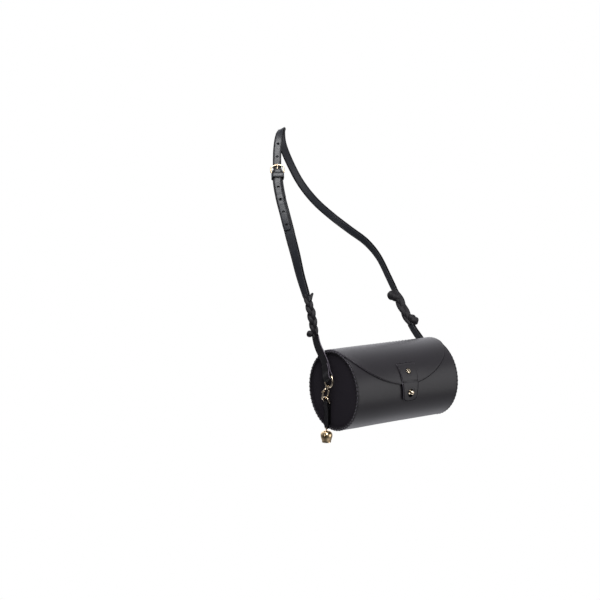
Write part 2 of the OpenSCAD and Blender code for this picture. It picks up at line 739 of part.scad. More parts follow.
// Each end of the strap is folded outwards round its hook's eye bar and laid back on itself.
lap_l = 26;
bar_h = hook_out - strap_out;
fold_h = hook_wire / 2 + strap_t / 2 + fit;
lap_h = strap_t + 2 * seat;
lap_flat = 6;
lap_turn = 13;
bar_leg = 5;
end_path = concat(
    [[lap_l, lap_h], [lap_l - lap_flat, lap_h], [lap_l - lap_turn, lap_h + seat],
        [bar_leg, bar_h + fold_h]],
    [for (q = round_bar(0, fold_h, 90, 270)) [q[0], q[1] + bar_h]],
    [[bar_leg, bar_h - fold_h], [lap_l - lap_turn, -seat]]);
module left_strap_end() {
    color(leather) band(concat(end_path, run(lap_l - lap_flat, left_knot_at - seat, 0)),
        strap_w, strap_t);
}
module right_strap_end() {
    color(leather) band(concat([for (q = end_path) [route_l - q[0], q[1]]],
        run(route_l - lap_l + lap_flat, route_l - right_knot_at + seat, 0)), strap_w, strap_t);
}

// A knot is a braid of the strap's own strands. Its bulges swing from side to side, and its
// strands end in round lumps, given as shares of the knot's length and the strap's width.
knot_w = 15;
knot_t = 9;
knot_sway = 1.6;
knot_bulges = 3;
knot_rings = 30;
knot_sides = 12;
left_lump_shares = [[0.085, -0.42, 0.16, 0.86]];
left_tip_shares = [[0.96, 0.5, 0.06, 0.44]];
right_lump_shares = [[0.095, -0.30, 0.30, 1], [0.905, 0.34, 0.20, 1]];
module knot(from, to, lump_shares) {
    l = abs(to - from);
    way = sign(to - from);
    mids = [for (i = [0:knot_rings]) [from + way * l * i / knot_rings, 0]];
    corners = [for (i = [0:knot_rings])
        let (s = mids[i][0], u = i / knot_rings, full = 0.8 + 0.2 * sin(180 * u),
            shift = knot_sway * sin(360 * knot_bulges * u))
        for (k = [0:knot_sides - 1]) let (a = way * 360 * k / knot_sides)
            route_at(s) + (full * knot_w / 2 * cos(a) + shift) * across(s)
                + full * knot_t / 2 * sin(a) * outwards(s)];
    last = knot_sides * knot_rings;
    faces = [
        for (k = [1:knot_sides - 2]) [0, k + 1, k],
        for (i = [0:knot_rings - 1], k = [0:knot_sides - 1])
            let (a = i * knot_sides + k, b = i * knot_sides + (k + 1) % knot_sides)
            each [[a, b, a + knot_sides], [b, b + knot_sides, a + knot_sides]],
        for (k = [1:knot_sides - 2]) [last, last + k, last + k + 1],
    ];
    at_bag() union() {
        polyhedron(corners, faces);
        for (p = lump_shares) let (s = from + way * l * p[0])
            translate(route_at(s) + p[1] * strap_w * across(s) + p[2] * strap_w * outwards(s))
                sphere(d = p[3] * knob_d, $fn = 48);
    }
}
module left_knot() {
    color(leather) knot(left_knot_at, left_knot_at + knot_l,
        concat(left_lump_shares, left_tip_shares));
}
module right_knot() {
    color(leather) knot(route_l - right_knot_at - knot_l, route_l - right_knot_at,
        right_lump_shares);
}

// Stands a piece on the strap at distance s: X across, Y along towards the right end, Z outwards.
module on_strap(s, h = 0) {
    x = across(s);
    y = along(s);
    z = outwards(s);
    o = route_at(s) + h * z;
    at_bag() multmatrix([[x.x, y.x, z.x, o.x], [x.y, y.y, z.y, o.y], [x.z, y.z, z.z, o.z]])
        children();
}

// The short strap is folded round the buckle's lower bar. The long strap comes over the shoulder,
// passes under the upper bar and over the lower one, and lies on the short strap.
fold_back_l = 56;
// The strap takes this much more length on its way over the buckle's bars.
bar_way = 13.5;
long_w = 16.5;
layer_h = (strap_t + seat) / 2;
lower_bar = buckle_at - buckle_h / 2;
upper_bar = buckle_at + buckle_h / 2;
bar_fold = (buckle_wire + strap_t) / 2 + fit;
settle = 10;
tip_at = buckle_at - bar_way - holes_below * hole_pitch - tongue_l;
prong_d = 2.4;
prong_eye = buckle_wire / 2 + prong_d / 2 + seat;
prong_eye_r = prong_eye + prong_d / 2 - fit;
slot_up = bar_fold + 2 * strap_t;
short_path = concat(
    run(lower_bar - fold_back_l, lower_bar - settle, layer_h),
    [[lower_bar - settle / 2, bar_fold]],
    round_bar(lower_bar, bar_fold, 90, -90),
    [[lower_bar - settle / 2, -bar_fold]],
    run(lower_bar - settle, tip_at, -layer_h),
    run(tip_at - settle, left_knot_at + knot_l + seat, 0));
module strap_short() {
    color(leather) difference() {
        band(short_path, strap_w, strap_t);
        on_strap(lower_bar) translate([-prong_d, -prong_eye_r - fit, -slot_up])
            cube([2 * prong_d, prong_eye_r + fit + slot_up, 2 * slot_up]);
    }
}

over_h = (buckle_wire + strap_t) / 2 + strap_t + 2 * seat + fit;
under_h = (buckle_wire + strap_t) / 2 + fit;
fold_end = lower_bar - fold_back_l;
tip_l = 11;
tip_shares = [[0, 0.72], [0.27, 0.92], [0.64, 1]];
long_path = concat(
    [for (q = tip_shares) [tip_at + q.x * tip_l, layer_h, q.y]],
    run(tip_at + tip_l, fold_end - settle, layer_h),
    run(fold_end - fit, lower_bar - 2 * settle, 3 * layer_h),
    [[lower_bar - settle, over_h - seat - fit], [lower_bar - settle / 2, over_h],
        [lower_bar, over_h], [lower_bar + buckle_wire, over_h - fit - seat],
        [buckle_at - seat, over_h * 0.35], [buckle_at + buckle_h / 4, -under_h * 0.42],
        [upper_bar - fit, -under_h], [upper_bar + settle / 2, -under_h * 0.8]],
    run(upper_bar + 2 * settle, rest_at - rest_l / 2, 0),
    run(rest_at, rest_at + rest_l / 2, 0),
    run(rest_at + rest_l, route_l - right_knot_at - knot_l - seat, 0));
hole_deep = 3 * strap_t;
prong_slot_w = prong_d + 4 * fit;
prong_lean = atan2((buckle_wire + prong_d) / 2 + seat, buckle_h);
module strap_long() {
    color(leather) difference() {
        band(long_path, long_w, strap_t);
        for (k = [-holes_below:holes_above]) if (k != 0)
            on_strap(buckle_at - (k < 0 ? bar_way : 0) + k * hole_pitch)
                translate([0, 0, -hole_deep / 2])
                cylinder(d = hole_d, h = 2 * hole_deep, center = true, $fn = 32);
        on_strap(lower_bar) translate([-prong_slot_w / 2, prong_eye_r + fit, -hole_deep / 2])
            cube([prong_slot_w, buckle_h / 2, 2 * hole_deep]);
    }
}

// Stitches hold the short strap's fold along both edges.
stitch_l = 4;
stitch_pitch = 6.5;
stitch_in = 0.85;
stitch_n = floor((fold_back_l - 3 * settle) / stitch_pitch);
module strap_stitching() {
    color(thread) for (s = [-1, 1], i = [0:stitch_n - 1])
        on_strap(fold_end + settle / 2 + i * stitch_pitch, layer_h + strap_t / 2 + cord_d / 2 + seat)
            translate([s * (strap_w / 2 - stitch_in), 0, 0]) rotate([-90, 0, 0])
                cylinder(d = cord_d, h = stitch_l, $fn = 16);
}

buckle_half = strap_w / 2 + buckle_wire / 2 + 2 * fit;
module buckle_frame() {
    color(brass) on_strap(buckle_at) for (s = [-1, 1]) {
        translate([0, s * buckle_h / 2, 0]) rod_x(buckle_wire / 2, 2 * buckle_half, 48);
        translate([s * buckle_half, 0, 0]) rotate([90, 0, 0])
            cylinder(d = buckle_wire, h = buckle_h, center = true, $fn = 48);
        for (t = [-1, 1]) translate([s * buckle_half, t * buckle_h / 2, 0])
            sphere(d = buckle_wire, $fn = 48);
    }
}

prong_past = 1;
prong_l = buckle_h + buckle_wire / 2 + prong_past;
module buckle_prong() {
    color(brass) on_strap(lower_bar) {
        rotate([0, 90, 0]) difference() {
            cylinder(r = prong_eye_r, h = prong_d + 2 * seat, center = true, $fn = 48);
            cylinder(d = buckle_wire + 2 * seat, h = 2 * prong_d, center = true, $fn = 48);
        }
        rotate([prong_lean, 0, 0]) translate([0, prong_eye, 0]) {
            rotate([-90, 0, 0]) cylinder(d = prong_d, h = prong_l - prong_eye, $fn = 32);
            translate([0, prong_l - prong_eye, 0]) sphere(d = prong_d, $fn = 32);
        }
    }
}

// The keeper is a leather loop round both straps, close below the buckle.
keeper_l = 11;
keeper_t = 1.8;
keeper_low = -bar_fold - strap_t / 2 - fit;
keeper_high = over_h + strap_t / 2 + fit;
module keeper_loop() {
    color(leather) on_strap(lower_bar - buckle_wire / 2 - 2 * fit - keeper_l / 2)
        rotate([90, 0, 0]) linear_extrude(height = keeper_l, center = true) difference() {
            translate([-strap_w / 2 - fit - keeper_t, keeper_low - keeper_t])
                square([strap_w + 2 * fit + 2 * keeper_t,
                    keeper_high - keeper_low + 2 * keeper_t]);
            translate([-strap_w / 2 - fit, keeper_low])
                square([strap_w + 2 * fit, keeper_high - keeper_low]);
        }
}

barrel_shell();
left_end_disc();
right_end_disc();
left_end_board();
right_end_board();
left_rim_stitching();
right_rim_stitching();
flap();
flap_hinge_band();
band_stitching();
closure_tab();
tab_tongue();
tab_screw();
tab_screw_post();
stud_ball();
stud_screw();
left_anchor_strip();
right_anchor_strip();
left_anchor_stitching();
right_anchor_stitching();
left_dee_ring();
right_dee_ring();
left_hook_eye();
right_hook_eye();
left_hook_body();
right_hook_body();
left_hook_gate();
right_hook_gate();
left_gate_pin();
right_gate_pin();
left_strap_end();
right_strap_end();
left_knot();
right_knot();
strap_short();
strap_long();
strap_stitching();
buckle_frame();
buckle_prong();
keeper_loop();
bell_ring();
bell_cup();
bell_clapper();
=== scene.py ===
"""Leather barrel bag with a knotted crossbody strap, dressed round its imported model.

Shapes are worked out in millimetres about the barrel's centre and moved to the row frame at the
end. An angle round the barrel counts in degrees from the front, -Y, up towards +Z.
"""

import bmesh
import bpy
import numpy as np
from mathutils import Matrix, Vector


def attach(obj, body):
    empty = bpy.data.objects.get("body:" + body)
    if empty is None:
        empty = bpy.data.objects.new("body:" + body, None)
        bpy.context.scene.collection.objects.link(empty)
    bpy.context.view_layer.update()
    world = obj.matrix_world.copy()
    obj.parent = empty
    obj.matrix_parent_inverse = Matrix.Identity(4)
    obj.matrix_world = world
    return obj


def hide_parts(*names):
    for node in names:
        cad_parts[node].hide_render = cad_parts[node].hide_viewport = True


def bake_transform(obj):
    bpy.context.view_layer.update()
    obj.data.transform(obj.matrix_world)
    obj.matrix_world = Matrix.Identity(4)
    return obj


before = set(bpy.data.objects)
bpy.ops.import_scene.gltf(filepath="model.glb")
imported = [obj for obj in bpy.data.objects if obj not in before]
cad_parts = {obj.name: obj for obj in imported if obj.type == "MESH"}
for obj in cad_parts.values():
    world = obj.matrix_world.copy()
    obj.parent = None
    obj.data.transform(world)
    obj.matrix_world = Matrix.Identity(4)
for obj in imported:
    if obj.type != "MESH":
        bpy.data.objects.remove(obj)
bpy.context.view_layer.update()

MM = 0.001
SHIFT, REACH, DROP = 68.0, 246.0, 479.0
BAG = np.array([SHIFT, -REACH, -DROP])
HALF_L = 122.5
BARREL_R, INNER_R = 75.0, 72.0
FLAP_R, TAB_R = 77.3, 79.95
FAR_IN = 30.0


# ---- Numbers and points ----

def smooth_step(low, high, value):
    """0 below low, 1 above high, and 3t2 - 2t3 between."""
    t = np.clip((value - low) / (high - low), 0, 1)
    return t * t * (3 - 2 * t)


def unit(vectors):
    """Vectors along the last axis, brought to length 1."""
    return vectors / np.linalg.norm(vectors, axis=-1, keepdims=True)


def round_barrel(x, angle, radius):
    """The point at distance radius from the barrel's axis: (x, -r cos a, r sin a)."""
    a = np.radians(angle)
    return np.stack(np.broadcast_arrays(x, -radius * np.cos(a), radius * np.sin(a)), -1)


def through_points(points, t):
    """The smooth curve through points at places t, a Catmull-Rom spline: between b and c it is
    b + f/2 ((c - a) + f ((2a - 5b + 4c - d) + f (3 (b - c) + d - a)))."""
    points = np.asarray(points, float)
    last = len(points) - 1
    i = np.minimum(np.floor(t).astype(int), last - 1)
    f = (t - i)[:, None]
    a, b, c, d = (points[np.clip(i + k, 0, last)] for k in (-1, 0, 1, 2))
    return b + f / 2 * ((c - a) + f * ((2 * a - 5 * b + 4 * c - d) + f * (3 * (b - c) + d - a)))


def rounded_outline(width, height, radius, corner=5):
    """A rectangle's outline with round corners, as points (across, out), anticlockwise."""
    turn = np.linspace(0, np.pi / 2, corner)
    middles = np.array([[1, 1], [-1, 1], [-1, -1], [1, -1]]) * [width / 2 - radius,
                                                               height / 2 - radius]
    return np.concatenate([middles[k] + radius * np.stack([np.cos(turn + k * np.pi / 2),
                                                          np.sin(turn + k * np.pi / 2)], -1)
                           for k in range(4)])


def flat_outline(width, height, radius):
    """A rounded rectangle's outline with seven more points along each of its long sides."""
    outline = rounded_outline(width, height, radius)
    extra = np.linspace(-0.5, 0.5, 9)[1:-1] * (width - 2)
    upper = np.stack([extra[::-1], np.full(7, height / 2)], -1)
    lower = np.stack([extra, np.full(7, -height / 2)], -1)
    return np.concatenate([outline[:5], upper, outline[5:15], lower, outline[15:]])


# ---- Meshes ----

def grid_quads(rows, columns, close_rows=False, close_columns=False):
    """The four corner numbers of each cell of a grid whose points are numbered row by row."""
    r = np.arange(rows if close_rows else rows - 1)[:, None]
    c = np.arange(columns if close_columns else columns - 1)[None, :]
    r1, c1 = (r + 1) % rows, (c + 1) % columns
    return np.stack([r * columns + c, r1 * columns + c, r1 * columns + c1, r * columns + c1],
                    -1).reshape(-1, 4)


def new_piece(name, points, faces, materials, body, slot, stands_for=(), edge=None, solid=True,
              merge=0.0):
    """Puts points (millimetres about the barrel's centre) and faces into a smooth piece, with
    each point's distance from a cut edge where the hide needs it. A solid has its faces turned
    outwards, and points closer than merge are joined."""
    mesh = bpy.data.meshes.new(name)
    points = np.asarray(points, float).reshape(-1, 3)
    mesh.from_pydata(((points + BAG) * MM).tolist(), [], [list(map(int, f)) for f in faces])
    if edge is not None:
        layer = mesh.attributes.new("edge_mm", "FLOAT", "POINT")
        layer.data.foreach_set("value", np.asarray(edge, np.float32).ravel())
    work = bmesh.new()
    work.from_mesh(mesh)
    if merge:
        bmesh.ops.remove_doubles(work, verts=work.verts, dist=merge * MM)
    if solid:
        bmesh.ops.recalc_face_normals(work, faces=work.faces)
    work.to_mesh(mesh)
    work.free()
    mesh.polygons.foreach_set("use_smooth", np.ones(len(mesh.polygons), bool))
    piece = bpy.data.objects.new(name, mesh)
    bpy.context.scene.collection.objects.link(piece)
    for material in materials:
        mesh.materials.append(material)
    if body:
        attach(piece, body)
    if stands_for:
        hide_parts(*stands_for)
    return piece


def add_modifier(piece, kind, **settings):
    """Adds one modifier with its settings."""
    modifier = piece.modifiers.new(kind.title(), kind)
    for key, value in settings.items():
        setattr(modifier, key, value)


def cut_away(piece, cutter):
    """Takes one piece's shape out of another's mesh."""
    add_modifier(piece, "BOOLEAN", operation="DIFFERENCE", object=cutter, solver="EXACT",
                 use_self=True, material_mode="TRANSFER")
    ready = piece.evaluated_get(bpy.context.evaluated_depsgraph_get())
    mesh = bpy.data.meshes.new_from_object(ready)
    piece.modifiers.clear()
    piece.data = mesh
    mesh.polygons.foreach_set("use_smooth", np.ones(len(mesh.polygons), bool))
    bpy.data.objects.remove(cutter)


def sweep(path, side, up, outline, closed=False):
    """The outline carried along a path, as points p + side u + up v for each outline point
    (u, v), and its faces. The outline may differ from one point of the path to the next."""
    outline = np.asarray(outline, float)
    if outline.ndim == 2:
        outline = np.broadcast_to(outline, (len(path),) + outline.shape)
    points = path[:, None] + side[:, None] * outline[..., :1] + up[:, None] * outline[..., 1:]
    return points, swept_faces(*points.shape[:2], closed)


def swept_faces(rings, sides, closed=False):
    """Quads of a swept tube, with a flat cap at each end if it isn't closed."""
    faces = grid_quads(rings, sides, close_rows=closed, close_columns=True).tolist()
    if not closed:
        faces.append(list(range(sides)))
        faces.append(list(range((rings - 1) * sides, rings * sides))[::-1])
    return faces


def circle_outline(radius, sides):
    """A circle's outline as points (u, v)."""
    a = np.arange(sides) * 2 * np.pi / sides
    return radius * np.stack([np.cos(a), np.sin(a)], -1)


def wire_loop(path, radius, sides):
    """A closed round wire. Each ring's up is the last one's less its part along the path, so that
    the wire turns as little as it can."""
    ahead = unit(np.roll(path, -1, 0) - np.roll(path, 1, 0))
    up = np.empty_like(ahead)
    start = np.eye(3)[np.argmin(np.abs(ahead[0]))]
    up[0] = unit(start - ahead[0] * (start @ ahead[0]))
    for i in range(1, len(path)):
        up[i] = unit(up[i - 1] - ahead[i] * (up[i - 1] @ ahead[i]))
    return sweep(path, np.cross(up, ahead), up, circle_outline(radius, sides), closed=True)


def joined(parts):
    """Several shapes, each its points and faces, as one."""
    points = [np.asarray(some, float).reshape(-1, 3) for some, _ in parts]
    first = np.cumsum([0] + [len(some) for some in points])
    faces = [[v + base for v in face] for base, (_, some) in zip(first, parts) for face in some]
    return np.concatenate(points), faces


def sew(name, stitch, places, along, out, body, stands_for):
    """Repeats one stitch at many places: each of its points (x, y, z) goes to the place
    + x along + y across + z out."""
    points, faces = stitch
    along, out = (np.broadcast_to(v, places.shape) for v in (along, out))
    axes = np.stack([along, np.cross(out, along), out], 1)
    made = places[:, None] + np.einsum("pk,nkj->npj", points, axes)
    new_piece(name, *joined([(one, faces) for one in made]), [THREAD], body, "waxed_thread",
              [stands_for])


def stitch_shape(length, radius):
    """One stitch, a short cord that bows out and dips in at its ends: for x from -1 to 1 its
    middle rises by r (0.4 - 0.9 x2) and its radius is r (1 - x4)^1/2."""
    x = np.array([-1, -0.97, -0.86, -0.6, -0.2, 0.2, 0.6, 0.86, 0.97, 1.0])[:, None]
    size = radius * np.sqrt(np.maximum(1 - x ** 4, 0.01))
    ring = circle_outline(1, 8)
    rise = radius * 0.9 * (1 - x ** 2) - radius * 0.5
    points = np.stack([x * length / 2 + 0 * ring[:, 0], size * ring[:, 0],
                       size * ring[:, 1] + rise], -1)
    return points.reshape(-1, 3), swept_faces(len(x), len(ring))


# ---- Colours and materials ----

def linear(hex_colour):
    """An sRGB hex value as linear red, green, blue and 1."""
    c = np.array([int(hex_colour[i:i + 2], 16) for i in (1, 3, 5)]) / 255
    return (*np.where(c <= 0.04045, c / 12.92, ((c + 0.055) / 1.055) ** 2.4), 1.0)


def add_node(tree, kind, settings=(), links=()):
    """Adds a shader node. Settings are its properties or socket values, and links join its
    sockets to other nodes' outputs, the first one where only a node is given."""
    node = tree.nodes.new("ShaderNode" + kind)
    for key, value in dict(settings).items():
        if isinstance(key, str) and hasattr(node, key):
            setattr(node, key, value)
        else:
            node.inputs[key].default_value = value
    for key, source in dict(links).items():
        tree.links.new(getattr(source, "outputs", [source])[0], node.inputs[key])
    return node


def new_material(name):
    """An empty material, its node tree and the place on the object that its patterns follow."""
    material = bpy.data.materials.new(name)
    material.use_nodes = True
    tree = material.node_tree
    tree.nodes.clear()
    return material, tree, add_node(tree, "TexCoord").outputs["Object"]


def per_metre(size_mm):
    """A pattern's scale for features of size_mm."""
    return 1 / (size_mm * MM)


# The colour of hide that is burnished dark and of painted shade in creases, holes, rings round
# fittings and between a thread's plies, and how near the edge counts as cut.
BURNISH_AND_SHADE = "#0b0a0c"
CUT_MM = 0.2


def leather(name, colour, worn, grain_mm, grain_deep, roughness, pebbled=False, shine=0.5,
            edge_line=0.0, burnish_shade_mm=1.8, burnish_shade_shine=0.0, edge_colour=BURNISH_AND_SHADE, cut_shine=0.05):
    """Cowhide: a noise grain or pebbles in the bump, broad cloudy changes of colour, and, from
    the attribute edge_mm, a cut edge, a dark dull band burnish_shade_mm wide beside it, burnished
    dye along cut edges and painted shade along creases and round fittings, and a tooled line
    edge_line inside it."""
    material, tree, where = new_material(name)
    cloud = add_node(tree, "TexNoise", {"Scale": per_metre(38), "Detail": 3.0}, {"Vector": where})
    grain = add_node(tree, "TexNoise", {"Scale": per_metre(grain_mm), "Detail": 4.0,
                                        "Roughness": 0.6}, {"Vector": where})
    tint = add_node(tree, "MixRGB", {"Color1": linear(colour), "Color2": linear(worn)},
                    {"Fac": cloud})
    height = grain
    if pebbled:
        cells = add_node(tree, "TexVoronoi", {"feature": "SMOOTH_F1", "Smoothness": 0.4,
                                              "Scale": per_metre(grain_mm * 1.5)},
                         {"Vector": where})
        height = add_node(tree, "Math", {"operation": "SUBTRACT"},
                          {0: grain, 1: cells.outputs["Distance"]})
    rough = add_node(tree, "MapRange", {"From Min": 0.3, "From Max": 0.7,
                                        "To Min": roughness - 0.05, "To Max": roughness + 0.07},
                     {"Value": grain})
    gloss = {}
    if edge_line:
        edge = add_node(tree, "Attribute", {"attribute_name": "edge_mm"}).outputs["Fac"]
        off = add_node(tree, "Math", {"operation": "SUBTRACT", 1: edge_line}, {0: edge})
        near = add_node(tree, "Math", {"operation": "ABSOLUTE"}, {0: off})
        groove = add_node(tree, "MapRange",
                          {"interpolation_type": "SMOOTHSTEP", "From Min": 0.0, "From Max": 0.7,
                           "To Min": 1.0, "To Max": 0.0}, {"Value": near})
        height = add_node(tree, "Math", {"operation": "MULTIPLY_ADD", 1: -5.0},
                          {0: groove, 2: height})
        level = add_node(tree, "RGB")
        level.outputs[0].default_value = (shine, shine, shine, 1)
        # First a dark dull band beside each edge: burnished dye at cut edges, and painted shade
        # where edge_mm also counts creases and rings round fittings. Then the cut face, whose
        # default dark dull colour paints shade inside holes.
        for far, shade, dull in ((burnish_shade_mm, BURNISH_AND_SHADE, burnish_shade_shine),
                                 (CUT_MM, edge_colour, cut_shine)):
            rim = add_node(tree, "MapRange",
                           {"interpolation_type": "SMOOTHSTEP", "From Min": far * 0.5,
                            "From Max": far, "To Min": 1.0, "To Max": 0.0}, {"Value": edge})
            tint, level = (add_node(tree, "MixRGB", {"Color2": value},
                                    {"Fac": rim, "Color1": before})
                           for before, value in ((tint, linear(shade)),
                                                 (level, (dull, dull, dull, 1))))
        gloss = {"Specular IOR Level": level}
    bump = add_node(tree, "Bump", {"Strength": 1.0, "Distance": grain_deep * MM},
                    {"Height": height})
    shader = add_node(tree, "BsdfPrincipled", {"IOR": 1.5, "Specular IOR Level": shine},
                      {"Base Color": tint, "Roughness": rough, "Normal": bump, **gloss})
    add_node(tree, "OutputMaterial", links={"Surface": shader})
    return material


def polished(name, colour, tarnish, roughness):
    """Cast and polished metal: its colour clouds towards tarnish, and wear marks, drawn 0.6 mm
    wide so that they show, change its roughness."""
    material, tree, where = new_material(name)
    cloud = add_node(tree, "TexNoise", {"Scale": per_metre(7), "Detail": 3.0}, {"Vector": where})
    wear = add_node(tree, "TexNoise", {"Scale": per_metre(0.6), "Detail": 2.0}, {"Vector": where})
    share = add_node(tree, "MapRange", {"From Min": 0.45, "From Max": 0.75, "To Min": 0.0,
                                        "To Max": 0.6}, {"Value": cloud})
    tint = add_node(tree, "MixRGB", {"Color1": linear(colour), "Color2": linear(tarnish)},
                    {"Fac": share})
    rough = add_node(tree, "MapRange", {"From Min": 0.3, "From Max": 0.7,
                                        "To Min": roughness - 0.04, "To Max": roughness + 0.08},
                     {"Value": wear})
    bump = add_node(tree, "Bump", {"Strength": 0.4, "Distance": 0.02 * MM}, {"Height": wear})
    shader = add_node(tree, "BsdfPrincipled", {"Metallic": 1.0},
                      {"Base Color": tint, "Roughness": rough, "Normal": bump})
    add_node(tree, "OutputMaterial", links={"Surface": shader})
    return material


def twisted_thread(name, colour, dark):
    """Waxed linen thread: painted shade in the gaps between its plies, drawn 0.5 mm apart."""
    material, tree, where = new_material(name)
    plies = add_node(tree, "TexWave", {"Scale": per_metre(1.4), "Distortion": 1.5},
                     {"Vector": where}).outputs["Fac"]
    tint = add_node(tree, "MixRGB", {"Color1": linear(dark), "Color2": linear(colour)},
                    {"Fac": plies})
    bump = add_node(tree, "Bump", {"Strength": 0.6, "Distance": 0.1 * MM}, {"Height": plies})
    shader = add_node(tree, "BsdfPrincipled", {"Roughness": 0.6},
                      {"Base Color": tint, "Normal": bump})
    add_node(tree, "OutputMaterial", links={"Surface": shader})
    return material


# Drum-dyed, waxed cowhide: nearly smooth, with a soft grey sheen where the light grazes it, and a
# painted highlight, light grey and glossier, on its cut edges.
SMOOTH_HIDE = leather("waxed_black_cowhide", "#161318", "#1d1a1f", 1.1, 0.03, 0.42,
                      edge_line=3.2, edge_colour="#625e66", cut_shine=0.4)
# The same hide on the strap, where its pebbled grain shows more and handling has paled it.
STRAP_HIDE = leather("pebbled_black_cowhide", "#121419", "#24272e", 1.3, 0.13, 0.40,
                     pebbled=True, edge_line=2.6, burnish_shade_mm=2.3, burnish_shade_shine=0.1)
# The first hide, a little darker and duller, with little wax in its sheen: a shaded copy that
# paints shade on the knots and the strips on the ends.
SHADED_DULL_HIDE = leather("shaded_dull_black_cowhide", "#141216", "#1a181c", 1.1, 0.04, 0.6, shine=0.3,
                    edge_line=3.2)
# The same shaded copy of the hide with a painted highlight on its cut edge: a faint light line
# along the side.
SHADED_HIDE_LIT_EDGE = leather("shaded_cowhide_with_painted_edge_highlight", "#141216", "#1a181c", 1.1, 0.04, 0.6,
                         shine=0.3, edge_line=3.2, edge_colour="#5c565f", cut_shine=0.3)
# The flesh side of a split hide: no gloss, and a faint nap.
SUEDE = leather("black_split_suede", "#29262c", "#302c33", 0.7, 0.12, 0.95, shine=0.12)
# Pressed fibre board inside the ends: flat, warm grey and quite without gloss.
BOARD = leather("grey_fibre_board", "#4a4136", "#564b3e", 0.8, 0.05, 0.85)
# Cast brass, polished and lacquered: pale gold that mirrors the room, a little cloudy.
BRASS = polished("polished_brass", "#efe0c6", "#b29672", 0.12)
# Spun brass of the bell: redder, with softer mirrored lights.
BELL_BRASS = polished("polished_bell_brass", "#ecd2a8", "#ab7f55", 0.19)
# Brass for the buckle, browner and less sharp: a darker copy of the brass, painted shade that dims
# the lamps' reflections in it.
BUCKLE_BRASS = polished("shaded_buckle_brass", "#d9c0a2", "#8d7251", 0.2)
# Brass inside the screw's slot, nearly black: painted shade in the slot.
SLOT_SHADE_BRASS = polished("slot_shade_brass", "#3b3021", "#1c1710", 0.4)
# Waxed linen: a dull black cord with painted shade in the gaps between its plies.
THREAD = twisted_thread("waxed_black_linen_thread", "#171519", BURNISH_AND_SHADE)


# ---- Barrel ----

MOUTH_HALF = 108.5
MOUTH_TOP_A, MOUTH_LOW_A = 92.0, 20.0
BARREL_END = HALF_L - 0.25


def mouth_low_angle(x):
    """The mouth's lower edge: 92 degrees less a half ellipse's height over the mouth's width."""
    share = np.clip(np.abs(x) / MOUTH_HALF, 0, 1)
    return MOUTH_TOP_A - (MOUTH_TOP_A - MOUTH_LOW_A) * (1 - share ** 2.2) ** 0.5


def barrel_ripple(x, angle):
    """The hide's slow rises and dips in millimetres, none at the rims."""
    fade = 1 - smooth_step(80, 116, np.abs(x))
    a = np.radians(angle)
    return 0.28 * fade * (np.sin(2 * a + x / 47) + 0.6 * np.sin(3 * a - x / 31 + 1.3))


def hide_sheet(name, points, faces, body, stands_for, edge, thickness, bevel, merge=0.0):
    """A piece of hide from the grid of its smooth side: its faces are turned away from the
    barrel's axis, it gets its thickness inwards, with the suede on its back, its edges are
    rounded, and points that the rounding brings together are joined."""
    piece = new_piece(name, points, faces, [SMOOTH_HIDE, SUEDE], body, "black_leather",
                      stands_for, edge, solid=False, merge=merge)
    mesh = piece.data
    face = mesh.polygons[len(mesh.polygons) // 2]
    out = Vector((0, face.center.y - BAG[1] * MM, face.center.z - BAG[2] * MM))
    if face.normal.dot(out) < 0:
        mesh.flip_normals()
    add_modifier(piece, "SOLIDIFY", thickness=thickness * MM, offset=-1,
                 use_even_offset=True, material_offset=1)
    add_modifier(piece, "BEVEL", width=bevel * MM, segments=3, limit_method="ANGLE",
                 angle_limit=np.radians(50))
    add_modifier(piece, "WELD", merge_threshold=0.04 * MM)
    return piece


def make_barrel():
    """The hide round the bag: a grid over the barrel whose first row runs along the mouth's
    lower edge and whose last one along its upper edge, and both meet past the mouth's ends."""
    inner = MOUTH_HALF * np.sin(np.linspace(-np.pi / 2, np.pi / 2, 97))
    outer = np.array([110, 112.5, 115, 117.5, 119.5, 121, 122, BARREL_END])
    x = np.concatenate([-outer[::-1], inner, outer])[None, :]
    t = np.linspace(0, 1, 201)[:, None]
    low = mouth_low_angle(x)
    angle = low - t * (low + 360 - MOUTH_TOP_A)
    edge = np.minimum(BARREL_END - np.abs(x) + 0 * angle, FAR_IN)
    points = round_barrel(x + 0 * angle, angle, BARREL_R + barrel_ripple(x, angle))
    hide_sheet("barrel_hide", points, grid_quads(*angle.shape), "bag", ["barrel_shell"], edge,
               3, 0.7, merge=0.01)


def make_end(side, name):
    """An end disc: rings of radius r, bulging by 0.9 (1 - (r / R)2), with a groove beside the rim
    and faint wrinkles."""
    count = 96
    r = np.concatenate([np.linspace(0.5, 66, 24), [68, 69.5, 70.6, 71.4, 71.85]])[:, None]
    a = np.arange(count)[None, :] * 2 * np.pi / count
    share = r / INNER_R
    out = 0.9 * (1 - share ** 2) - 0.5 * np.exp(-((r - 68) / 1.2) ** 2)
    out = out + 0.12 * np.sin(3 * a + 5 * share) * share * (1 - share)
    front = np.stack([side * (HALF_L - 2.9 + out), r * np.cos(a), r * np.sin(a)], -1)
    rings = np.concatenate([front, front[-1:] - [side * 2.6, 0, 0]])
    new_piece(name, rings, swept_faces(len(rings), count), [SUEDE], "bag", "suede_leather",
              [name.replace("_suede", "")])


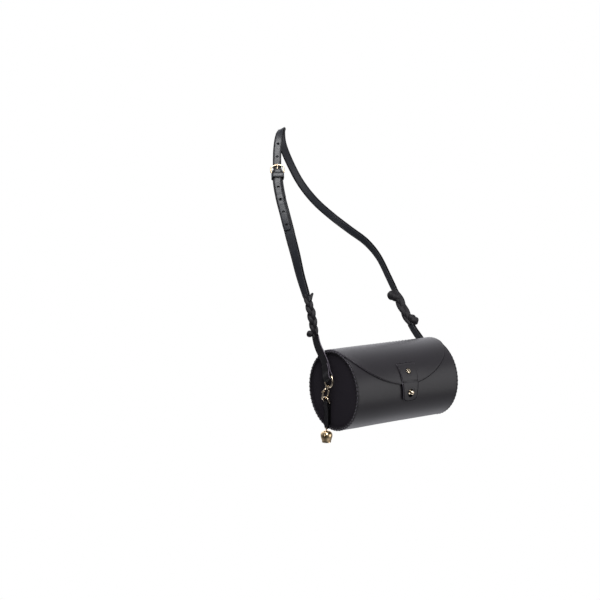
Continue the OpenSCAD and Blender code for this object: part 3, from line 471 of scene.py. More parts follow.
def make_rim_stitches(side, name):
    """Lacing over the rim: short flat cords that lie on the hide, bend over its edge and end on
    the disc. They lie lower where the flap covers them."""
    count = 60
    degrees = (np.arange(count) + 0.5) * 360 / count
    path = np.array([[-4.4, -0.6], [-3.0, 0.1], [-0.7, 0.2], [0.3, -0.35], [0.55, -1.7],
                     [0.2, -3.6], [-0.9, -5.2]])
    tangent = unit(np.gradient(path, axis=0))
    ring = circle_outline(1, 6) * [1.15, 0.5]
    points = np.stack([path[:, :1] - tangent[:, 1:] * ring[:, 1], 0 * path[:, :1] + ring[:, 0],
                       path[:, 1:] + tangent[:, :1] * ring[:, 1]], -1)
    radial = round_barrel(0 * degrees, degrees, 1)
    covered = (degrees > 40) & (degrees < 116)
    places = (BARREL_R - 0.85 * covered)[:, None] * radial + [side * HALF_L, 0, 0]
    stitch = points.reshape(-1, 3), swept_faces(len(path), len(ring))
    sew(name, stitch, places, [side, 0, 0], radial, "bag", name.replace("_lacing", "_stitching"))


# ---- Flap and tab ----

BAND_A, FLAP_TURN_A, FLAP_END_A, FLAP_LOW_A = 110.9, 100.0, 81.0, 8.0
VIEW_A = 50.0
TAB_TOP_A, SCREW_A, CREASE_A, STUD_A, KEYHOLE_A = 39.0, 26.0, 12.0, -2.8, -3.9
TAB_ROUND_A, TAB_LOW_A = -7.5, -15.4
SCREW_R = 4.1


def flap_edge_angle(x):
    """The flap's edge: a half ellipse seen along 50 degrees, put back on the barrel."""
    middle = FLAP_R * np.sin(np.radians(FLAP_END_A - VIEW_A))
    deep = middle - FLAP_R * np.sin(np.radians(FLAP_LOW_A - VIEW_A))
    share = np.clip(np.abs(x) / HALF_L, 0, 1)
    height = middle - deep * np.sqrt(1 - share ** 2)
    return VIEW_A + np.degrees(np.arcsin(height / FLAP_R))


def make_flap():
    """The flap and the band that holds it, one sheet from the seam behind to the curved edge. The
    line along the edge fades towards the rims, where its distances are stretched."""
    x = HALF_L * np.sin(np.linspace(-np.pi / 2, np.pi / 2, 121))[None, :]
    t = np.concatenate([np.linspace(0, 0.96, 84), [0.975, 0.985, 0.993, 1.0]])[:, None]
    low = flap_edge_angle(x)
    angle = BAND_A + (low - BAND_A) * t
    along = np.radians(angle - low) * FLAP_R
    slope = np.abs(np.gradient(np.radians(low) * FLAP_R, x[0], axis=1))
    # These distances drive the tooled line and the dark band beside the flap's edge, which is
    # burnished dye and painted shade along the edge. worn only stretches them towards the rims, so
    # that both fade there.
    edge = np.minimum(along / np.sqrt(1 + np.minimum(slope, 40) ** 2), HALF_L + 0.01 - np.abs(x))
    worn = 1 + 1.1 * smooth_step(78, 116, np.abs(x))
    lift = 0.5 * (1 - smooth_step(0, 16, edge)) * smooth_step(0, 20, HALF_L - np.abs(x))
    ripple = 0.6 * barrel_ripple(x, angle)
    points = round_barrel(x + 0 * angle, angle, FLAP_R + lift + ripple)
    piece = hide_sheet("flap_hide", points, grid_quads(*angle.shape), None,
                       ["flap", "flap_hinge_band"], np.maximum(edge, 0) * worn, 2, 0.5)
    start = (round_barrel(0, FLAP_TURN_A + 4, FLAP_R) + BAG) * MM
    end = (round_barrel(0, FLAP_TURN_A - 5, FLAP_R) + BAG) * MM
    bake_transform(piece)


def tab_half_width(angle):
    """Half the tab's width: 21 mm at its top, 18.4 above the crease, 19.3 below it and 15.8 low
    down."""
    return np.interp(angle, [-12, 9.8, 10.6, TAB_TOP_A], [15.8, 19.3, 18.4, 21.0])


def make_tab():
    """The tab, a grid of rays from the stud's keyhole out to the tab's edge, bent round the
    barrel. It creases where it leaves the flap, is tooled along its edges and dips in a ring
    round the stud."""
    per_degree = np.radians(1) * TAB_R
    side = np.linspace(TAB_TOP_A, TAB_ROUND_A, 60)
    round_a = np.linspace(0, np.pi, 60)[1:-1]
    low_round = np.stack([tab_half_width(TAB_ROUND_A) * np.sign(np.cos(round_a))
                          * np.abs(np.cos(round_a)) ** 0.7,
                          TAB_ROUND_A - (TAB_ROUND_A - TAB_LOW_A) * np.sin(round_a) ** 0.7], -1)
    right = np.stack([tab_half_width(side), side], -1)
    left = right[::-1] * [-1, 1]
    top = np.stack([np.linspace(-21, 21, 20)[1:-1], np.full(18, TAB_TOP_A)], -1)
    outline = np.concatenate([right, low_round, left, top]) * [1, per_degree]
    outline = outline - [0, KEYHOLE_A * per_degree]
    bearing = np.arctan2(outline[:, 1], outline[:, 0]) % (2 * np.pi)
    order = np.argsort(bearing)
    rays = np.linspace(0, 2 * np.pi, 240, endpoint=False)
    reach = np.interp(rays, bearing[order], np.linalg.norm(outline[order], axis=1),
                      period=2 * np.pi)
    hole = 4.9 + 1.7 * np.abs(np.sin(rays))
    share = np.linspace(0, 1, 34)[:, None] ** 1.15
    length = hole + (reach - hole) * share
    x = length * np.cos(rays)
    up = length * np.sin(rays) + KEYHOLE_A * per_degree
    angle = up / per_degree
    off_axis = rays - np.pi / 2 * np.round(rays / (np.pi / 2))
    edge = np.minimum((reach - length) * np.abs(np.cos(off_axis)), FAR_IN)
    crease = 1.3 * np.exp(-((angle - CREASE_A) / 0.8) ** 2)
    from_stud = np.hypot(x, up - STUD_A * per_degree)
    radius = TAB_R - crease - 0.3 * np.exp(-((from_stud - 8.4) / 0.5) ** 2)
    radius = radius + 0.25 * smooth_step(0, 3, edge) - 0.25
    points = round_barrel(x, angle, radius)
    # The crease and rings round the screw and the keyhole count as edges here, so the dark band
    # paints shade in the crease, round the screw head and round the stud.
    from_screw = np.maximum(np.hypot(x, (angle - SCREW_A) * per_degree) - SCREW_R, 0.3)
    from_crease = np.abs(angle - CREASE_A) * per_degree + 0.95
    edge = np.minimum(np.minimum(edge, from_crease),
                      np.minimum(from_screw * 0.7, (length - hole) * 0.7 + 0.3))
    piece = hide_sheet("closure_tab_hide", points, grid_quads(*x.shape, close_columns=True),
                       None, ["closure_tab", "tab_tongue"], edge, 2.3, 0.5)
    start = (round_barrel(0, 12.2, TAB_R) + BAG) * MM
    end = (round_barrel(0, 8.6, TAB_R) + BAG) * MM
    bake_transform(piece)


def make_screw():
    """The slotted screw's head: a low dome, of height 1.5 (1 - 0.5 (r / R)2), with a slot."""
    count = 48
    r = SCREW_R * np.array([0.05, 0.3, 0.55, 0.75, 0.9, 0.97, 1.0])[:, None]
    a = np.arange(count)[None, :] * 2 * np.pi / count
    high = 1.5 * (1 - 0.5 * (r / SCREW_R) ** 2) - 0.25 * (r > 0.99 * SCREW_R)
    top = np.stack([r * np.cos(a), r * np.sin(a), high + 0 * a], -1)
    rings = np.concatenate([top, top[-1:] * [1, 1, 0]])
    c, s = np.cos(np.radians(-72)), np.sin(np.radians(-72))
    slot = np.array([[6 * i * c - 0.95 * j * s, 6 * i * s + 0.95 * j * c, k] for k in (0.5, 4)
                     for i, j in ((-1, -1), (1, -1), (1, 1), (-1, 1))])
    out = round_barrel(0, SCREW_A, 1.0)
    axes = np.stack([[1.0, 0, 0], np.cross(out, [1.0, 0, 0]), out])
    middle = out * (TAB_R + 0.15)
    head = new_piece("slotted_screw", middle + rings @ axes, swept_faces(len(rings), count),
                     [BRASS], "cover", "polished_brass", ["tab_screw"])
    cut_away(head, new_piece("screw_slot", middle + slot @ axes, swept_faces(2, 4), [SLOT_SHADE_BRASS],
                             None, None))


def make_band_stitches():
    """A straight row of stitches that holds the flap's band to the barrel."""
    count, angle = 29, BAND_A - 4
    places = round_barrel((np.arange(count) - (count - 1) / 2) * 8.0, angle, FLAP_R - 0.2)
    sew("band_seam", stitch_shape(5.4, 0.45), places, [1.0, 0, 0], round_barrel(0, angle, 1.0),
        "bag", "band_stitching")


# ---- Strap ----

STRAP_OUT, STRAP_W, STRAP_T = 5.0, 20.0, 3.0
EYE = np.array([-HALF_L - STRAP_OUT, 5.39955, 23.2202])
LEAN = np.radians(28)
# The strap's way up from the left hook and down to the right one. Each row has a point's shares
# of the route's half width, reach and drop, and the way the outer face looks there.
RISE = np.array([
    [-1, 0.057, 0.090, -1, 0, 0], [-1, 0.083, 0.112, -1, 0, 0], [-1, 0.122, 0.137, -1, 0, 0],
    [-1, 0.170, 0.168, -1, 0, 0], [-1, 0.197, 0.200, -1, 0, 0], [-1, 0.228, 0.250, -1, 0, 0.05],
    [-1, 0.265, 0.305, -1, 0, 0.05], [-1, 0.335, 0.372, -1, -0.10, 0.10],
    [-0.995, 0.402, 0.433, -1, -0.25, 0.15], [-0.99, 0.470, 0.510, -1, -0.50, 0.25],
    [-0.985, 0.545, 0.588, -1, -0.85, 0.35], [-0.97, 0.625, 0.665, -0.8, -1, 0.40],
    [-0.93, 0.715, 0.732, -0.62, -1, 0.42], [-0.88, 0.790, 0.793, -0.55, -1, 0.42],
    [-0.83, 0.838, 0.850, -0.55, -1, 0.35], [-0.77, 0.885, 0.906, -0.55, -1, 0.35],
    [-0.71, 0.915, 0.953, -0.55, -1, 0.45], [-0.66, 0.930, 0.984, -0.50, -0.8, 1]])
FALL = np.array([
    [-0.42, 1.090, 0.986, 0.2, 0.5, 1], [-0.27, 1.175, 0.935, 0.15, 1, 0.6],
    [-0.02, 1.250, 0.855, 0.05, 1, 0.30], [0.23, 1.280, 0.770, 0.15, 1, 0.15],
    [0.48, 1.255, 0.692, 0.4, 1, 0.10], [0.71, 1.170, 0.625, 0.8, 0.9, 0.10],
    [0.88, 1.035, 0.568, 1, 0.6, 0.05], [0.97, 0.870, 0.520, 1, 0.2, 0],
    [1, 0.720, 0.461, 1, 0, 0], [1, 0.580, 0.378, 1, 0, 0], [1, 0.462, 0.302, 1, 0, 0],
    [1, 0.352, 0.231, 1, 0, 0], [1, 0.262, 0.180, 1, 0, 0], [1, 0.190, 0.149, 1, 0, 0],
    [1, 0.130, 0.125, 1, 0, 0], [1, 0.085, 0.106, 1, 0, 0], [1, 0.057, 0.087, 1, 0, 0]])


def strap_route():
    """The route's points and the way the outer face looks at each, as in the part's source."""
    size = np.array([HALF_L + STRAP_OUT, REACH, DROP])
    turn = np.radians(37)
    way = np.array([np.sin(turn), np.cos(turn), 0])
    rest = np.array([-SHIFT, REACH, DROP + STRAP_T / 2])
    eye = EYE + np.arange(3)[:, None] * 6 * np.array([0, np.sin(LEAN), np.cos(LEAN)])
    flat = rest + np.arange(-2, 3)[:, None] * 8 * way
    across = np.array([-1, 1, 1])
    points = np.concatenate([eye, RISE[:, :3] * size, flat, FALL[:, :3] * size,
                             eye[::-1] * across])
    looks = np.concatenate([[[-1, 0, 0]] * 3, RISE[:, 3:], [[0, 0, 1]] * 5, FALL[:, 3:],
                            [[1, 0, 0]] * 3]).astype(float)
    return points, looks


ROUTE, LOOKS = strap_route()
CUTS = np.arange(8 * (len(ROUTE) - 1) + 1) / 8
SUMS = np.concatenate([[0], np.cumsum(np.linalg.norm(np.diff(through_points(ROUTE, CUTS),
                                                             axis=0), axis=1))])
ROUTE_L = SUMS[-1]


def route_at(s):
    """The route's points at distances s from the left hook's eye bar."""
    return through_points(ROUTE, np.interp(s, SUMS, CUTS))


def route_axes(s):
    """Along, across and outwards at distances s."""
    ahead = unit(route_at(np.minimum(s + 1, ROUTE_L)) - route_at(np.maximum(s - 1, 0)))
    look = through_points(LOOKS, np.interp(s, SUMS, CUTS))
    side = unit(np.cross(ahead, look))
    return ahead, side, np.cross(side, ahead)


def route_frame(s):
    """The route's point at one distance s, and along, across and outwards there."""
    s = np.array([s])
    return (route_at(s)[0], *(v[0] for v in route_axes(s)))


def lifted(rows):
    """Points at [distance, height] rows over the route, and the strap's side there."""
    s = np.clip(rows[:, 0], 0, ROUTE_L)
    ahead, side, out = route_axes(s)
    return route_at(s) + (rows[:, 0] - s)[:, None] * ahead + rows[:, 1:2] * out, side


def strap_band(name, rows, width, stands_for, widths, aside=(0.0,), twist=(0.0,),
               hide=STRAP_HIDE):
    """A strap's piece: a rounded outline carried along the smooth curve through rows of
    [distance, height over the route], each with its share of the width, moved aside by as much
    as aside says and turned about the curve by as many degrees as twist says."""
    rows = np.asarray(rows, float)
    t = np.linspace(0, len(rows) - 1, (len(rows) - 1) * 6 + 1)

    def eased(values):
        """The rows' values at each t."""
        return np.interp(t, np.arange(len(values)), values)[:, None]

    path, side = lifted(through_points(rows, t))
    path = path + side * eased(aside)
    ahead = unit(np.gradient(path, axis=0))
    up = unit(np.cross(side, ahead))
    wide = unit(np.cross(ahead, up))
    turn = np.radians(eased(twist))
    wide, up = (wide * np.cos(turn) + up * np.sin(turn), up * np.cos(turn) - wide * np.sin(turn))
    shape = flat_outline(width, STRAP_T, 0.9) * np.ones((len(path), 1, 1))
    shape[..., 0] *= eased(widths)
    crown = 0.16 * (1 - (2 * shape[..., 0] / width) ** 2)
    shape[..., 1] += np.where(shape[..., 1] > 0, crown, 0)
    edge = width / 2 - np.abs(shape[..., 0])
    return new_piece(name, *sweep(path, wide, up, shape), [hide], "strap", "strap_leather",
                     [stands_for], edge)


def straight(low, high, height):
    """Rows of [distance, height] from low to high, 9 mm apart or less."""
    count = max(1, int(np.ceil(abs(high - low) / 9)))
    return np.stack([np.linspace(low, high, count + 1), np.full(count + 1, height)], -1).tolist()


def round_bar(s, r, start, end, lift=0.0):
    """Rows round a bar at distance s: (s + r cos a, lift + r sin a)."""
    a = np.radians(np.linspace(start, end, 7))
    return np.stack([s + r * np.cos(a), lift + r * np.sin(a)], -1).tolist()


# An S is a place along the route. LAYER, FOLD, OVER and UNDER are how far the leather's middle
# lies from it: of one layer of two, round the lower bar, over that bar and under the upper one.
BUCKLE_S, BUCKLE_H = 433.5, 14.0
LOWER_BAR, UPPER_BAR = BUCKLE_S - BUCKLE_H / 2, BUCKLE_S + BUCKLE_H / 2
HOLE_PITCH, BAR_WAY, FOLD_BACK = 27.3, 13.5, 56.0
TIP_S = BUCKLE_S - BAR_WAY - 4 * HOLE_PITCH - 10
LEFT_KNOT, RIGHT_KNOT, KNOT_L = 84.0, 99.0, 84.0
RIGHT_KNOT_S = ROUTE_L - RIGHT_KNOT - KNOT_L
LAYER, FOLD, OVER, UNDER = 1.575, 3.4, 6.7, 3.4
TAIL_ASIDE = 1.75
CREST_S, CREST_L, CREST_TURN = SUMS[8 * 23] - 6, 24, 32.0


def make_strap():
    """The strap's leather: two ends folded round the hooks' bars, the short strap folded round
    the buckle's lower bar, and the long strap through the buckle and over the crest, where it
    turns."""
    lap, fold, bar = 26, 3.55, 2.0
    end = [[lap, 3.3], [lap - 6, 3.3], [lap - 13, 3.45], [5, bar + fold],
           *round_bar(0, fold, 90, 270, bar), [5, bar - fold], [lap - 13, -0.15]]
    left = end + straight(lap - 6, LEFT_KNOT, 0) + into_knot(LEFT_KNOT, 1)
    right = end + straight(lap - 6, RIGHT_KNOT, 0) + into_knot(RIGHT_KNOT, 1)
    strap_band("left_strap_end_hide", left, STRAP_W, "left_strap_end", narrowed(left),
               hide=SHADED_HIDE_LIT_EDGE)
    strap_band("right_strap_end_hide", [[ROUTE_L - s, h] for s, h in right], 17.6,
               "right_strap_end", narrowed(right))
    short = (straight(LOWER_BAR - FOLD_BACK, LOWER_BAR - 10, LAYER) + [[LOWER_BAR - 5, FOLD]]
             + round_bar(LOWER_BAR, FOLD, 90, -90) + [[LOWER_BAR - 5, -FOLD]]
             + straight(LOWER_BAR - 10, TIP_S, -LAYER)
             + straight(TIP_S - 10, LEFT_KNOT + KNOT_L, 0)
             + into_knot(LEFT_KNOT + KNOT_L, -1))
    strap_band("short_strap_hide", short, STRAP_W, "strap_short", narrowed(short))
    rows = ([[TIP_S + step, LAYER] for step in (0, 1.5, 4, 8, 13)]
            + straight(TIP_S + 20, LOWER_BAR - FOLD_BACK - 10, LAYER)
            + straight(LOWER_BAR - FOLD_BACK + 0.3, LOWER_BAR - 20, 3 * LAYER)
            + [[LOWER_BAR - 10, OVER - 0.45], [LOWER_BAR - 5, OVER], [LOWER_BAR, OVER],
               [LOWER_BAR + 3.2, OVER - 0.45], [BUCKLE_S - 0.15, OVER * 0.35],
               [BUCKLE_S + BUCKLE_H / 4, -UNDER * 0.42], [UPPER_BAR - 0.3, -UNDER],
               [UPPER_BAR + 5, -UNDER * 0.8]]
            + straight(UPPER_BAR + 20, RIGHT_KNOT_S, 0) + into_knot(RIGHT_KNOT_S, 1))
    widths = [0.66, 0.82, 0.95] + narrowed(rows)[3:]
    aside = [-TAIL_ASIDE if s < LOWER_BAR - 15 else 0 for s, height in rows]
    twist = [CREST_TURN * float(np.exp(-((s - CREST_S) / CREST_L) ** 2)) for s, height in rows]
    punch_holes(strap_band("long_strap_hide", rows, 16.5, "strap_long", widths, aside, twist))


def into_knot(s, way):
    """Rows that carry a strap from a knot's end at s into the knot."""
    return [[s + way * step, 0] for step in (5, 10, 15)]


def narrowed(rows):
    """Width shares of 1 that shrink over the last three rows."""
    return [1.0] * (len(rows) - 3) + [0.88, 0.68, 0.42]


def punch_holes(piece):
    """Cuts the strap's round holes, the slot that the prong comes up through and a hollow below
    it that the prong lifts into. The two free holes keep their lining: they are cut from both
    sides and not through."""
    through, lined, hollow = [(-12, 14)], [(-12, -0.35), (0.35, 14)], [(-12, 5.4)]
    places = [BUCKLE_S + k * HOLE_PITCH - (BAR_WAY if k < 0 else 0)
              for k in (-4, -3, -2, -1, 1, 2)]
    shapes = [(s, 2.2, 2.2, lined if s > BUCKLE_S else through) for s in places]
    shapes += [(LOWER_BAR + 7.6, 1.7, 3.5, through), (LOWER_BAR + 4.5, 2.0, 2.5, hollow)]
    ring = circle_outline(1, 24)
    parts = []
    for s, half_wide, half_long, cuts in shapes:
        middle, ahead, side, out = route_frame(s)
        flat = (middle - side * (TAIL_ASIDE if s < LOWER_BAR else 0)
                + side * ring[:, :1] * half_wide + ahead * ring[:, 1:] * half_long)
        parts += [([flat + low * out, flat + high * out], swept_faces(2, 24))
                  for low, high in cuts]
    # The cut walls and floors take the strap's dark, dull cut-edge colour: painted shade inside
    # the holes, the slot and the hollow.
    cut_away(piece, new_piece("hole_punches", *joined(parts), [STRAP_HIDE], None, None))


def make_keeper():
    """The keeper, a leather loop round both straps: a flat outline carried round a rounded
    rectangle."""
    middle, ahead, side, out = route_frame(LOWER_BAR - 7.7)
    low, high, long_way = -6.1, 9.4, 11.5
    ring = rounded_outline(22.6, high - low, 2.6, 7) + [0, (low + high) / 2]
    ring = np.concatenate([ring, ring[:1]])
    t = np.linspace(0, len(ring) - 1, 121)[:-1]
    ring = np.stack([np.interp(t, np.arange(len(ring)), ring[:, k]) for k in (0, 1)], -1)
    path = middle + ring[:, :1] * side + ring[:, 1:] * out
    along = np.broadcast_to(ahead, path.shape)
    up = unit(np.cross(np.roll(path, -1, 0) - np.roll(path, 1, 0), along))
    shape = flat_outline(long_way, 1.7, 0.7)
    edge = np.broadcast_to(long_way / 2 - np.abs(shape[:, 0]), (len(path), len(shape)))
    new_piece("keeper_hide", *sweep(path, along, up, shape, closed=True), [STRAP_HIDE], "strap",
              "strap_leather", ["keeper_loop"], edge)


def make_buckle():
    """The buckle's frame: one wire whose upper bar arches and is worn lower on the left."""
    middle, ahead, side, _ = route_frame(BUCKLE_S)
    half = BUCKLE_H / 2
    loop = np.array([[-11.2, -half], [-6, -half], [0, -half], [6, -half], [11.2, -half],
                     [12.4, -half + 1.4], [12.5, -1], [12.3, half - 2.6], [11, half + 0.2],
                     [7, half + 1.9], [1.5, half + 2.6], [-4, half + 1.5], [-9, half - 0.8],
                     [-12, half - 3.4], [-12.6, half - 6], [-12.4, -half + 1.4]])
    t = np.arange(0, len(loop), 0.25)
    loop = through_points(np.concatenate([loop[-2:], loop, loop[:3]]), t + 2)
    path = middle + loop[:, :1] * side + loop[:, 1:] * ahead
    new_piece("arched_buckle", *wire_loop(path, 1.55, 14), [BUCKLE_BRASS], "strap",
              "polished_brass", ["buckle_frame"])


def make_strap_stitches():
    """Stitches along both edges of the short strap's fold, where the long strap leaves them
    bare."""
    rows, sign = np.tile(np.arange(4), 2), np.repeat([-1.0, 1.0], 4)[:, None]
    s = LOWER_BAR - FOLD_BACK + 5 + rows * 6.5
    ahead, side, out = route_axes(s)
    places = route_at(s) + sign * side * 9.15 + out * (LAYER + STRAP_T / 2 + 0.1)
    sew("strap_seam", stitch_shape(4.6, 0.45), places, ahead, out, "strap", "strap_stitching")


# ---- Knots ----

def make_knot(name, start, facing, plait, lumps, tips=()):
    """Three strands plaited along the route: strand k swings across by sin(w s + k/3) and out by
    sin(2 (w s + k/3)), with facing the plait's turn from the strap's side. Round lumps close the
    ends where the strands are tied, and the strands' own ends stick out as tapered tips."""
    turns, swing, rise, wide_mm, thick_mm = plait
    count = 130
    share = np.linspace(0, 1, count)
    s = start + KNOT_L * share
    base = route_at(s)
    across, out = knot_axes(s, facing)
    full = np.sin(np.pi * np.clip(share, 0.015, 0.985)) ** 0.4
    size = (0.5 + 0.5 * full)[:, None, None]
    shape = rounded_outline(wide_mm, thick_mm, thick_mm * 0.46, 4)
    parts = []
    for k in range(3):
        phase = 2 * np.pi * (turns * share + k / 3)
        path = (base + across * (swing * (0.35 + 0.65 * full) * np.sin(phase))[:, None]
                + out * (rise * full * np.sin(2 * phase))[:, None])
        parts.append(strand(path, out, shape * size))
    for place, wide, high, radius in lumps:
        s = start + place * KNOT_L
        side, up = (v[0] for v in knot_axes(np.array([s]), facing))
        middle, ahead, _, _ = route_frame(s)
        parts.append(wrapped_ball(radius, middle + wide * side + high * up, ahead))
    for rows in tips:
        rows = through_points(rows, np.linspace(0, len(rows) - 1, 14))
        s = start + rows[:, 0] * KNOT_L
        side, up = knot_axes(s, facing)
        path = route_at(s) + rows[:, 1:2] * side + rows[:, 2:3] * up
        parts.append(strand(path, up, shape * np.sqrt(np.linspace(1, 0.1, 14))[:, None, None]))
    points, faces = joined(parts)
    new_piece(name, points, faces, [SHADED_DULL_HIDE], "strap", "strap_leather",
              [name.replace("_hide", "")], np.full(len(points), FAR_IN))


def strand(path, out, shapes):
    """One strand: an outline at each point of its path, whose top looks outwards."""
    tangent = unit(np.gradient(path, axis=0))
    up = unit(out - tangent * np.sum(out * tangent, -1, keepdims=True))
    return sweep(path, np.cross(tangent, up), up, shapes)


def knot_axes(s, facing):
    """The plait's own across and outward directions: the strap's, turned about its length."""
    _, side, out = route_axes(s)
    turn = np.radians(facing)
    return (side * np.cos(turn) + out * np.sin(turn), out * np.cos(turn) - side * np.sin(turn))


def wrapped_ball(radius, middle, axis):
    """A tied lump's points and faces: a ball that swells by a twelfth along three slanting
    ridges."""
    rings, sides = 26, 32
    polar = np.linspace(0.04, np.pi - 0.04, rings)[:, None]
    turn = np.arange(sides)[None, :] * 2 * np.pi / sides
    size = radius * (1 + 0.085 * np.cos(3 * turn + 2.2 * polar) * np.sin(polar))
    first = unit(np.cross(axis, [0.3, 0.5, 0.8]))
    second = np.cross(axis, first)
    points = (middle + (size * np.cos(polar))[..., None] * axis
              + (size * np.sin(polar) * np.cos(turn))[..., None] * first
              + (size * np.sin(polar) * np.sin(turn))[..., None] * second)
    return points.reshape(-1, 3), swept_faces(rings, sides)


# ---- Strips and rings on the ends ----

STRIP_Y, STRIP_W, STRIP_T = 16.0, 14.5, 2.0
DEE_X, DEE_Z = 124.15, -24.6598
DEE_HALF, DEE_HIGH, DEE_LEAN = 8.8, 11.65, 20.87


def make_anchor(side, name, low):
    """The strip that holds a ring: a flat outline carried up the disc, round the ring's bar and
    down outside the rim."""
    out, front = HALF_L - 2 + STRIP_T / 2, HALF_L + 1.3 + STRIP_T / 2
    a = np.radians(np.linspace(180, 0, 9))
    fold = np.stack([DEE_X + 2.65 * np.cos(a), DEE_Z + 2.65 * np.sin(a)], -1)
    legs = [[out, -63.0], [out, -55], [out, -45], [out + 0.1, -36], [out + 0.4, -30]]
    down = [[DEE_X + 2.5, DEE_Z - 5], [front + 0.6, DEE_Z - 12], [front, -44],
            [front, -54], [front, -62], [front, low + 6], [front, low + 2.5], [front, low]]
    rows = np.array(legs + fold.tolist() + down)
    rows = through_points(rows, np.linspace(0, len(rows) - 1, (len(rows) - 1) * 5 + 1))
    path = np.stack([side * rows[:, 0], np.full(len(rows), STRIP_Y), rows[:, 1]], -1)
    across = np.broadcast_to([0.0, 1.0, 0.0], path.shape)
    up = unit(np.cross(across, unit(np.gradient(path, axis=0))))
    from_end = np.abs(rows[:, 1] - low) + np.where(rows[:, 0] < front - 0.9, 99, 0)
    taper = 0.62 + 0.38 * np.sin(np.clip(from_end / 7, 0, 1) * np.pi / 2)[:, None]
    shape = flat_outline(STRIP_W, STRIP_T, 0.8) * np.ones((len(path), 1, 1))
    shape[..., 0] *= taper
    edge = STRIP_W / 2 * taper - np.abs(shape[..., 0])
    new_piece(name, *sweep(path, across, up, shape), [SHADED_DULL_HIDE], "bag", "black_leather",
              [name.replace("_hide", "")], edge)


def make_dee_ring(side, name):
    """The small ring: a bar in the strip's fold and a half oval that leans out to the hook, at
    (DEE_HALF c^0.87, DEE_HIGH s^0.87) for an angle's cosine c and sine s, so its top is round
    enough to turn in the hook."""
    a = np.radians(np.linspace(0, 180, 25))
    arch = np.stack([DEE_HALF * np.sign(np.cos(a)) * np.abs(np.cos(a)) ** 0.87,
                     DEE_HIGH * np.abs(np.sin(a)) ** 0.87], -1)
    bar = np.stack([np.linspace(-DEE_HALF, DEE_HALF, 9), np.zeros(9)], -1)[1:-1]
    loop = np.concatenate([arch, bar])
    lean = np.radians(DEE_LEAN)
    path = np.stack([side * (DEE_X + loop[:, 1] * np.sin(lean)), STRIP_Y + loop[:, 0],
                     DEE_Z + loop[:, 1] * np.cos(lean)], -1)
    new_piece(name, *wire_loop(path, 1.4, 12), [BRASS], "bag", "polished_brass",
              [name.replace("_wire", "")])


def make_anchor_stitches(side, name):
    """Two rows of stitches down the strip's outer leg."""
    places = np.array([[side * (HALF_L + 3.35), STRIP_Y + s * 5.0, -60.0 + k * 5.2]
                       for s in (-1, 1) for k in range(5)])
    sew(name, stitch_shape(3.9, 0.5), places, [0.0, 0, 1], [side, 0.0, 0], "bag",
        name.replace("_seam", "_stitching"))


# ---- Bell ----

BELL_AT = np.array([-124.8, 16.0, -78.65])
BELL_R, BELL_H = 11.25, 22.0


def make_bell():
    """The bell: a smooth outline turned about its axis, with a rolled lip and a wall, and the
    eyes that it and its clapper hang by."""
    outer = np.array([[0.02, 0.0], [0.16, 0.0], [0.5, -0.03], [0.8, -0.12], [0.96, -0.26],
                      [1, -0.4], [0.96, -0.56], [0.86, -0.74], [0.78, -0.88], [0.77, -0.96],
                      [0.78, -1.0]]) * [BELL_R, BELL_H]
    outer = through_points(outer, np.linspace(0, len(outer) - 1, 71))
    wall = np.minimum(1.15, 0.4 + outer[:, 0] / 3)
    slope = unit(np.gradient(outer, axis=0))
    inner = outer - np.stack([-slope[:, 1], slope[:, 0]], -1) * wall[:, None]
    inner[:, 0] = np.maximum(inner[:, 0], 0.2)
    ring = np.concatenate([outer, inner[::-1]])
    count = 64
    a = np.arange(count) * 2 * np.pi / count
    points = np.stack([ring[:, :1] * np.cos(a), ring[:, :1] * np.sin(a),
                       np.broadcast_to(ring[:, 1:], (len(ring), count))], -1) + BELL_AT
    parts = [(points, swept_faces(len(ring), count))]
    b = np.arange(32)[:, None] * 2 * np.pi / 32
    for height, way in ((1.5, [0, 1, 0]), (-2.7, [1, 0, 0])):
        path = BELL_AT + [0, 0, height] + 1.5 * (np.cos(b) * way + np.sin(b) * [0, 0, 1])
        parts.append(wire_loop(path, 0.55, 10))
    new_piece("brass_bell", *joined(parts), [BELL_BRASS], "bell", "polished_brass",
              ["bell_cup"])


# ---- Carried-over nodes ----

def dress_nodes():
    """Gives each CAD node that stays its material."""
    metal = ["tab_screw_post", "stud_ball", "stud_screw", "buckle_prong",
             "bell_ring", "bell_clapper"]
    metal += [f"{s}_{n}" for s in ("left", "right")
              for n in ("hook_eye", "hook_body", "hook_gate", "gate_pin")]
    for names, material in ((metal, BRASS), (["left_end_board", "right_end_board"], BOARD)):
        for name in names:
            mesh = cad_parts[name].data
            mesh.materials.clear()
            mesh.materials.append(material)


# ---- Stage ----

LAMPS = [("level_softbox", (1.35, -1.95, -0.45), (1.5, 2.1), 14),
         ("near_softbox", (-1.15, -2.3, 1.4), (0.75, 0.75), 28),
         ("strap_softbox", (-0.24, -0.53, 0.51), (0.3, 0.3), 4),
         ("left_strip", (-2.3, -0.9, -0.1), (0.35, 1.6), 4),
         ("top_softbox", (-0.2, -0.5, 1.9), (1.8, 1.4), 16)]
LAMP_AIM = Vector((0.05, -0.2, -0.35))
# The room's light by the direction's parts: along each, it goes smoothly from the third number to
# the fourth between the first and the second.
SWEEP, LEFT = ("Y", -0.1, 0.75, 0.55, 1.95), ("X", -0.6, 0.25, 0.22, 1.0)
FLOOR, ABOVE = ("Z", -0.95, -0.45, 1.7, 0.3), ("Z", -0.14, 0.06, 0.0, 0.6)


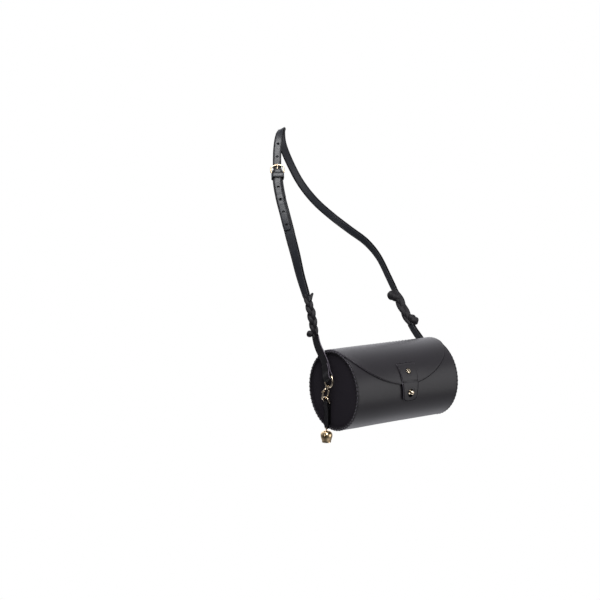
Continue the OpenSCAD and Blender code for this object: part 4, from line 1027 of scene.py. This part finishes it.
def make_world():
    """White where the camera looks. For all else it is a studio: a bright white sweep behind the
    bag and a dimmer room in front of it, by the direction's part along +Y, darker towards the
    left, by its part along X, and dark just below the horizon, where the sweep meets the floor."""
    world = bpy.data.worlds.new("studio")
    bpy.context.scene.world = world
    world.use_nodes = True
    tree = world.node_tree
    tree.nodes.clear()
    where = add_node(tree, "TexCoord").outputs["Generated"]
    parts = add_node(tree, "SeparateXYZ", links={"Vector": where})
    sweep, left, floor, above = (
        add_node(tree, "MapRange",
                 {"interpolation_type": "SMOOTHSTEP", "From Min": low, "From Max": high,
                  "To Min": first, "To Max": last}, {"Value": parts.outputs[axis]})
        for axis, low, high, first, last in (SWEEP, LEFT, FLOOR, ABOVE))
    strength = add_node(tree, "Math", {}, {0: floor, 1: above})
    for part in (left, sweep):
        strength = add_node(tree, "Math", {"operation": "MULTIPLY"}, {0: strength, 1: part})
    rays = add_node(tree, "LightPath")
    room = add_node(tree, "Background", {"Color": linear("#f4f4fa")}, {"Strength": strength})
    white = add_node(tree, "Background", {"Color": (1, 1, 1, 1), "Strength": 1.0})
    mix = add_node(tree, "MixShader", {}, {0: rays.outputs["Is Camera Ray"], 1: room, 2: white})
    add_node(tree, "OutputWorld", {}, {"Surface": mix})


def make_stage():
    """The lamps and the camera."""
    scene = bpy.context.scene
    make_world()
    for name, place, size, power in LAMPS:
        lamp = bpy.data.lights.new(name, "AREA")
        lamp.shape, lamp.size, lamp.size_y, lamp.energy = "RECTANGLE", *size, power
        holder = bpy.data.objects.new(name, lamp)
        scene.collection.objects.link(holder)
        holder.location = place
        holder.rotation_euler = (LAMP_AIM - Vector(place)).to_track_quat("-Z", "Y").to_euler()

    camera = bpy.data.cameras.new("camera")
    camera.lens, camera.sensor_width = 76.74, 36
    holder = bpy.data.objects.new("camera", camera)
    scene.collection.objects.link(holder)
    azimuth, down, roll = np.radians([35.6, 7.84, -0.1])
    ahead = Vector((np.sin(azimuth) * np.cos(down), np.cos(azimuth) * np.cos(down),
                    -np.sin(down)))
    holder.location = (-1.4643, -2.1095, 0.01315)
    holder.rotation_mode = "QUATERNION"
    turn = Matrix.Rotation(roll, 4, ahead).to_quaternion()
    holder.rotation_quaternion = turn @ ahead.to_track_quat("-Z", "Y")
    scene.camera = holder
    scene.view_settings.view_transform = "Standard"


make_stage()
make_barrel()
for left_right, sign in (("left", -1), ("right", 1)):
    make_end(sign, f"{left_right}_end_disc_suede")
    make_rim_stitches(sign, f"{left_right}_rim_lacing")
    make_anchor(sign, f"{left_right}_anchor_strip_hide", -74.8 if sign < 0 else -63.0)
    make_anchor_stitches(sign, f"{left_right}_anchor_seam")
    make_dee_ring(sign, f"{left_right}_dee_ring_wire")
make_flap()
make_tab()
make_screw()
make_band_stitches()
make_strap()
make_keeper()
make_strap_stitches()
make_buckle()
make_knot("left_knot_hide", LEFT_KNOT, -54, (1.6, 4.5, 2.4, 8.6, 5.0), [(0.1, -9.5, 1.0, 6.4)],
          [[[0.84, 3, 1], [0.91, 7, 1], [0.96, 10.5, 1], [0.99, 13.5, 0]]])
make_knot("right_knot_hide", RIGHT_KNOT_S, 54, (0.9, 4.2, 2.4, 12.0, 7.0),
          [(0.13, -10.3, 0.0, 9.8), (0.2, -5.5, 0.5, 8.8), (0.26, 0.5, 2.0, 8.6),
           (0.87, 6.6, 0.0, 8.4), (0.96, 9.2, 0.0, 8.8)])
make_bell()
dress_nodes()
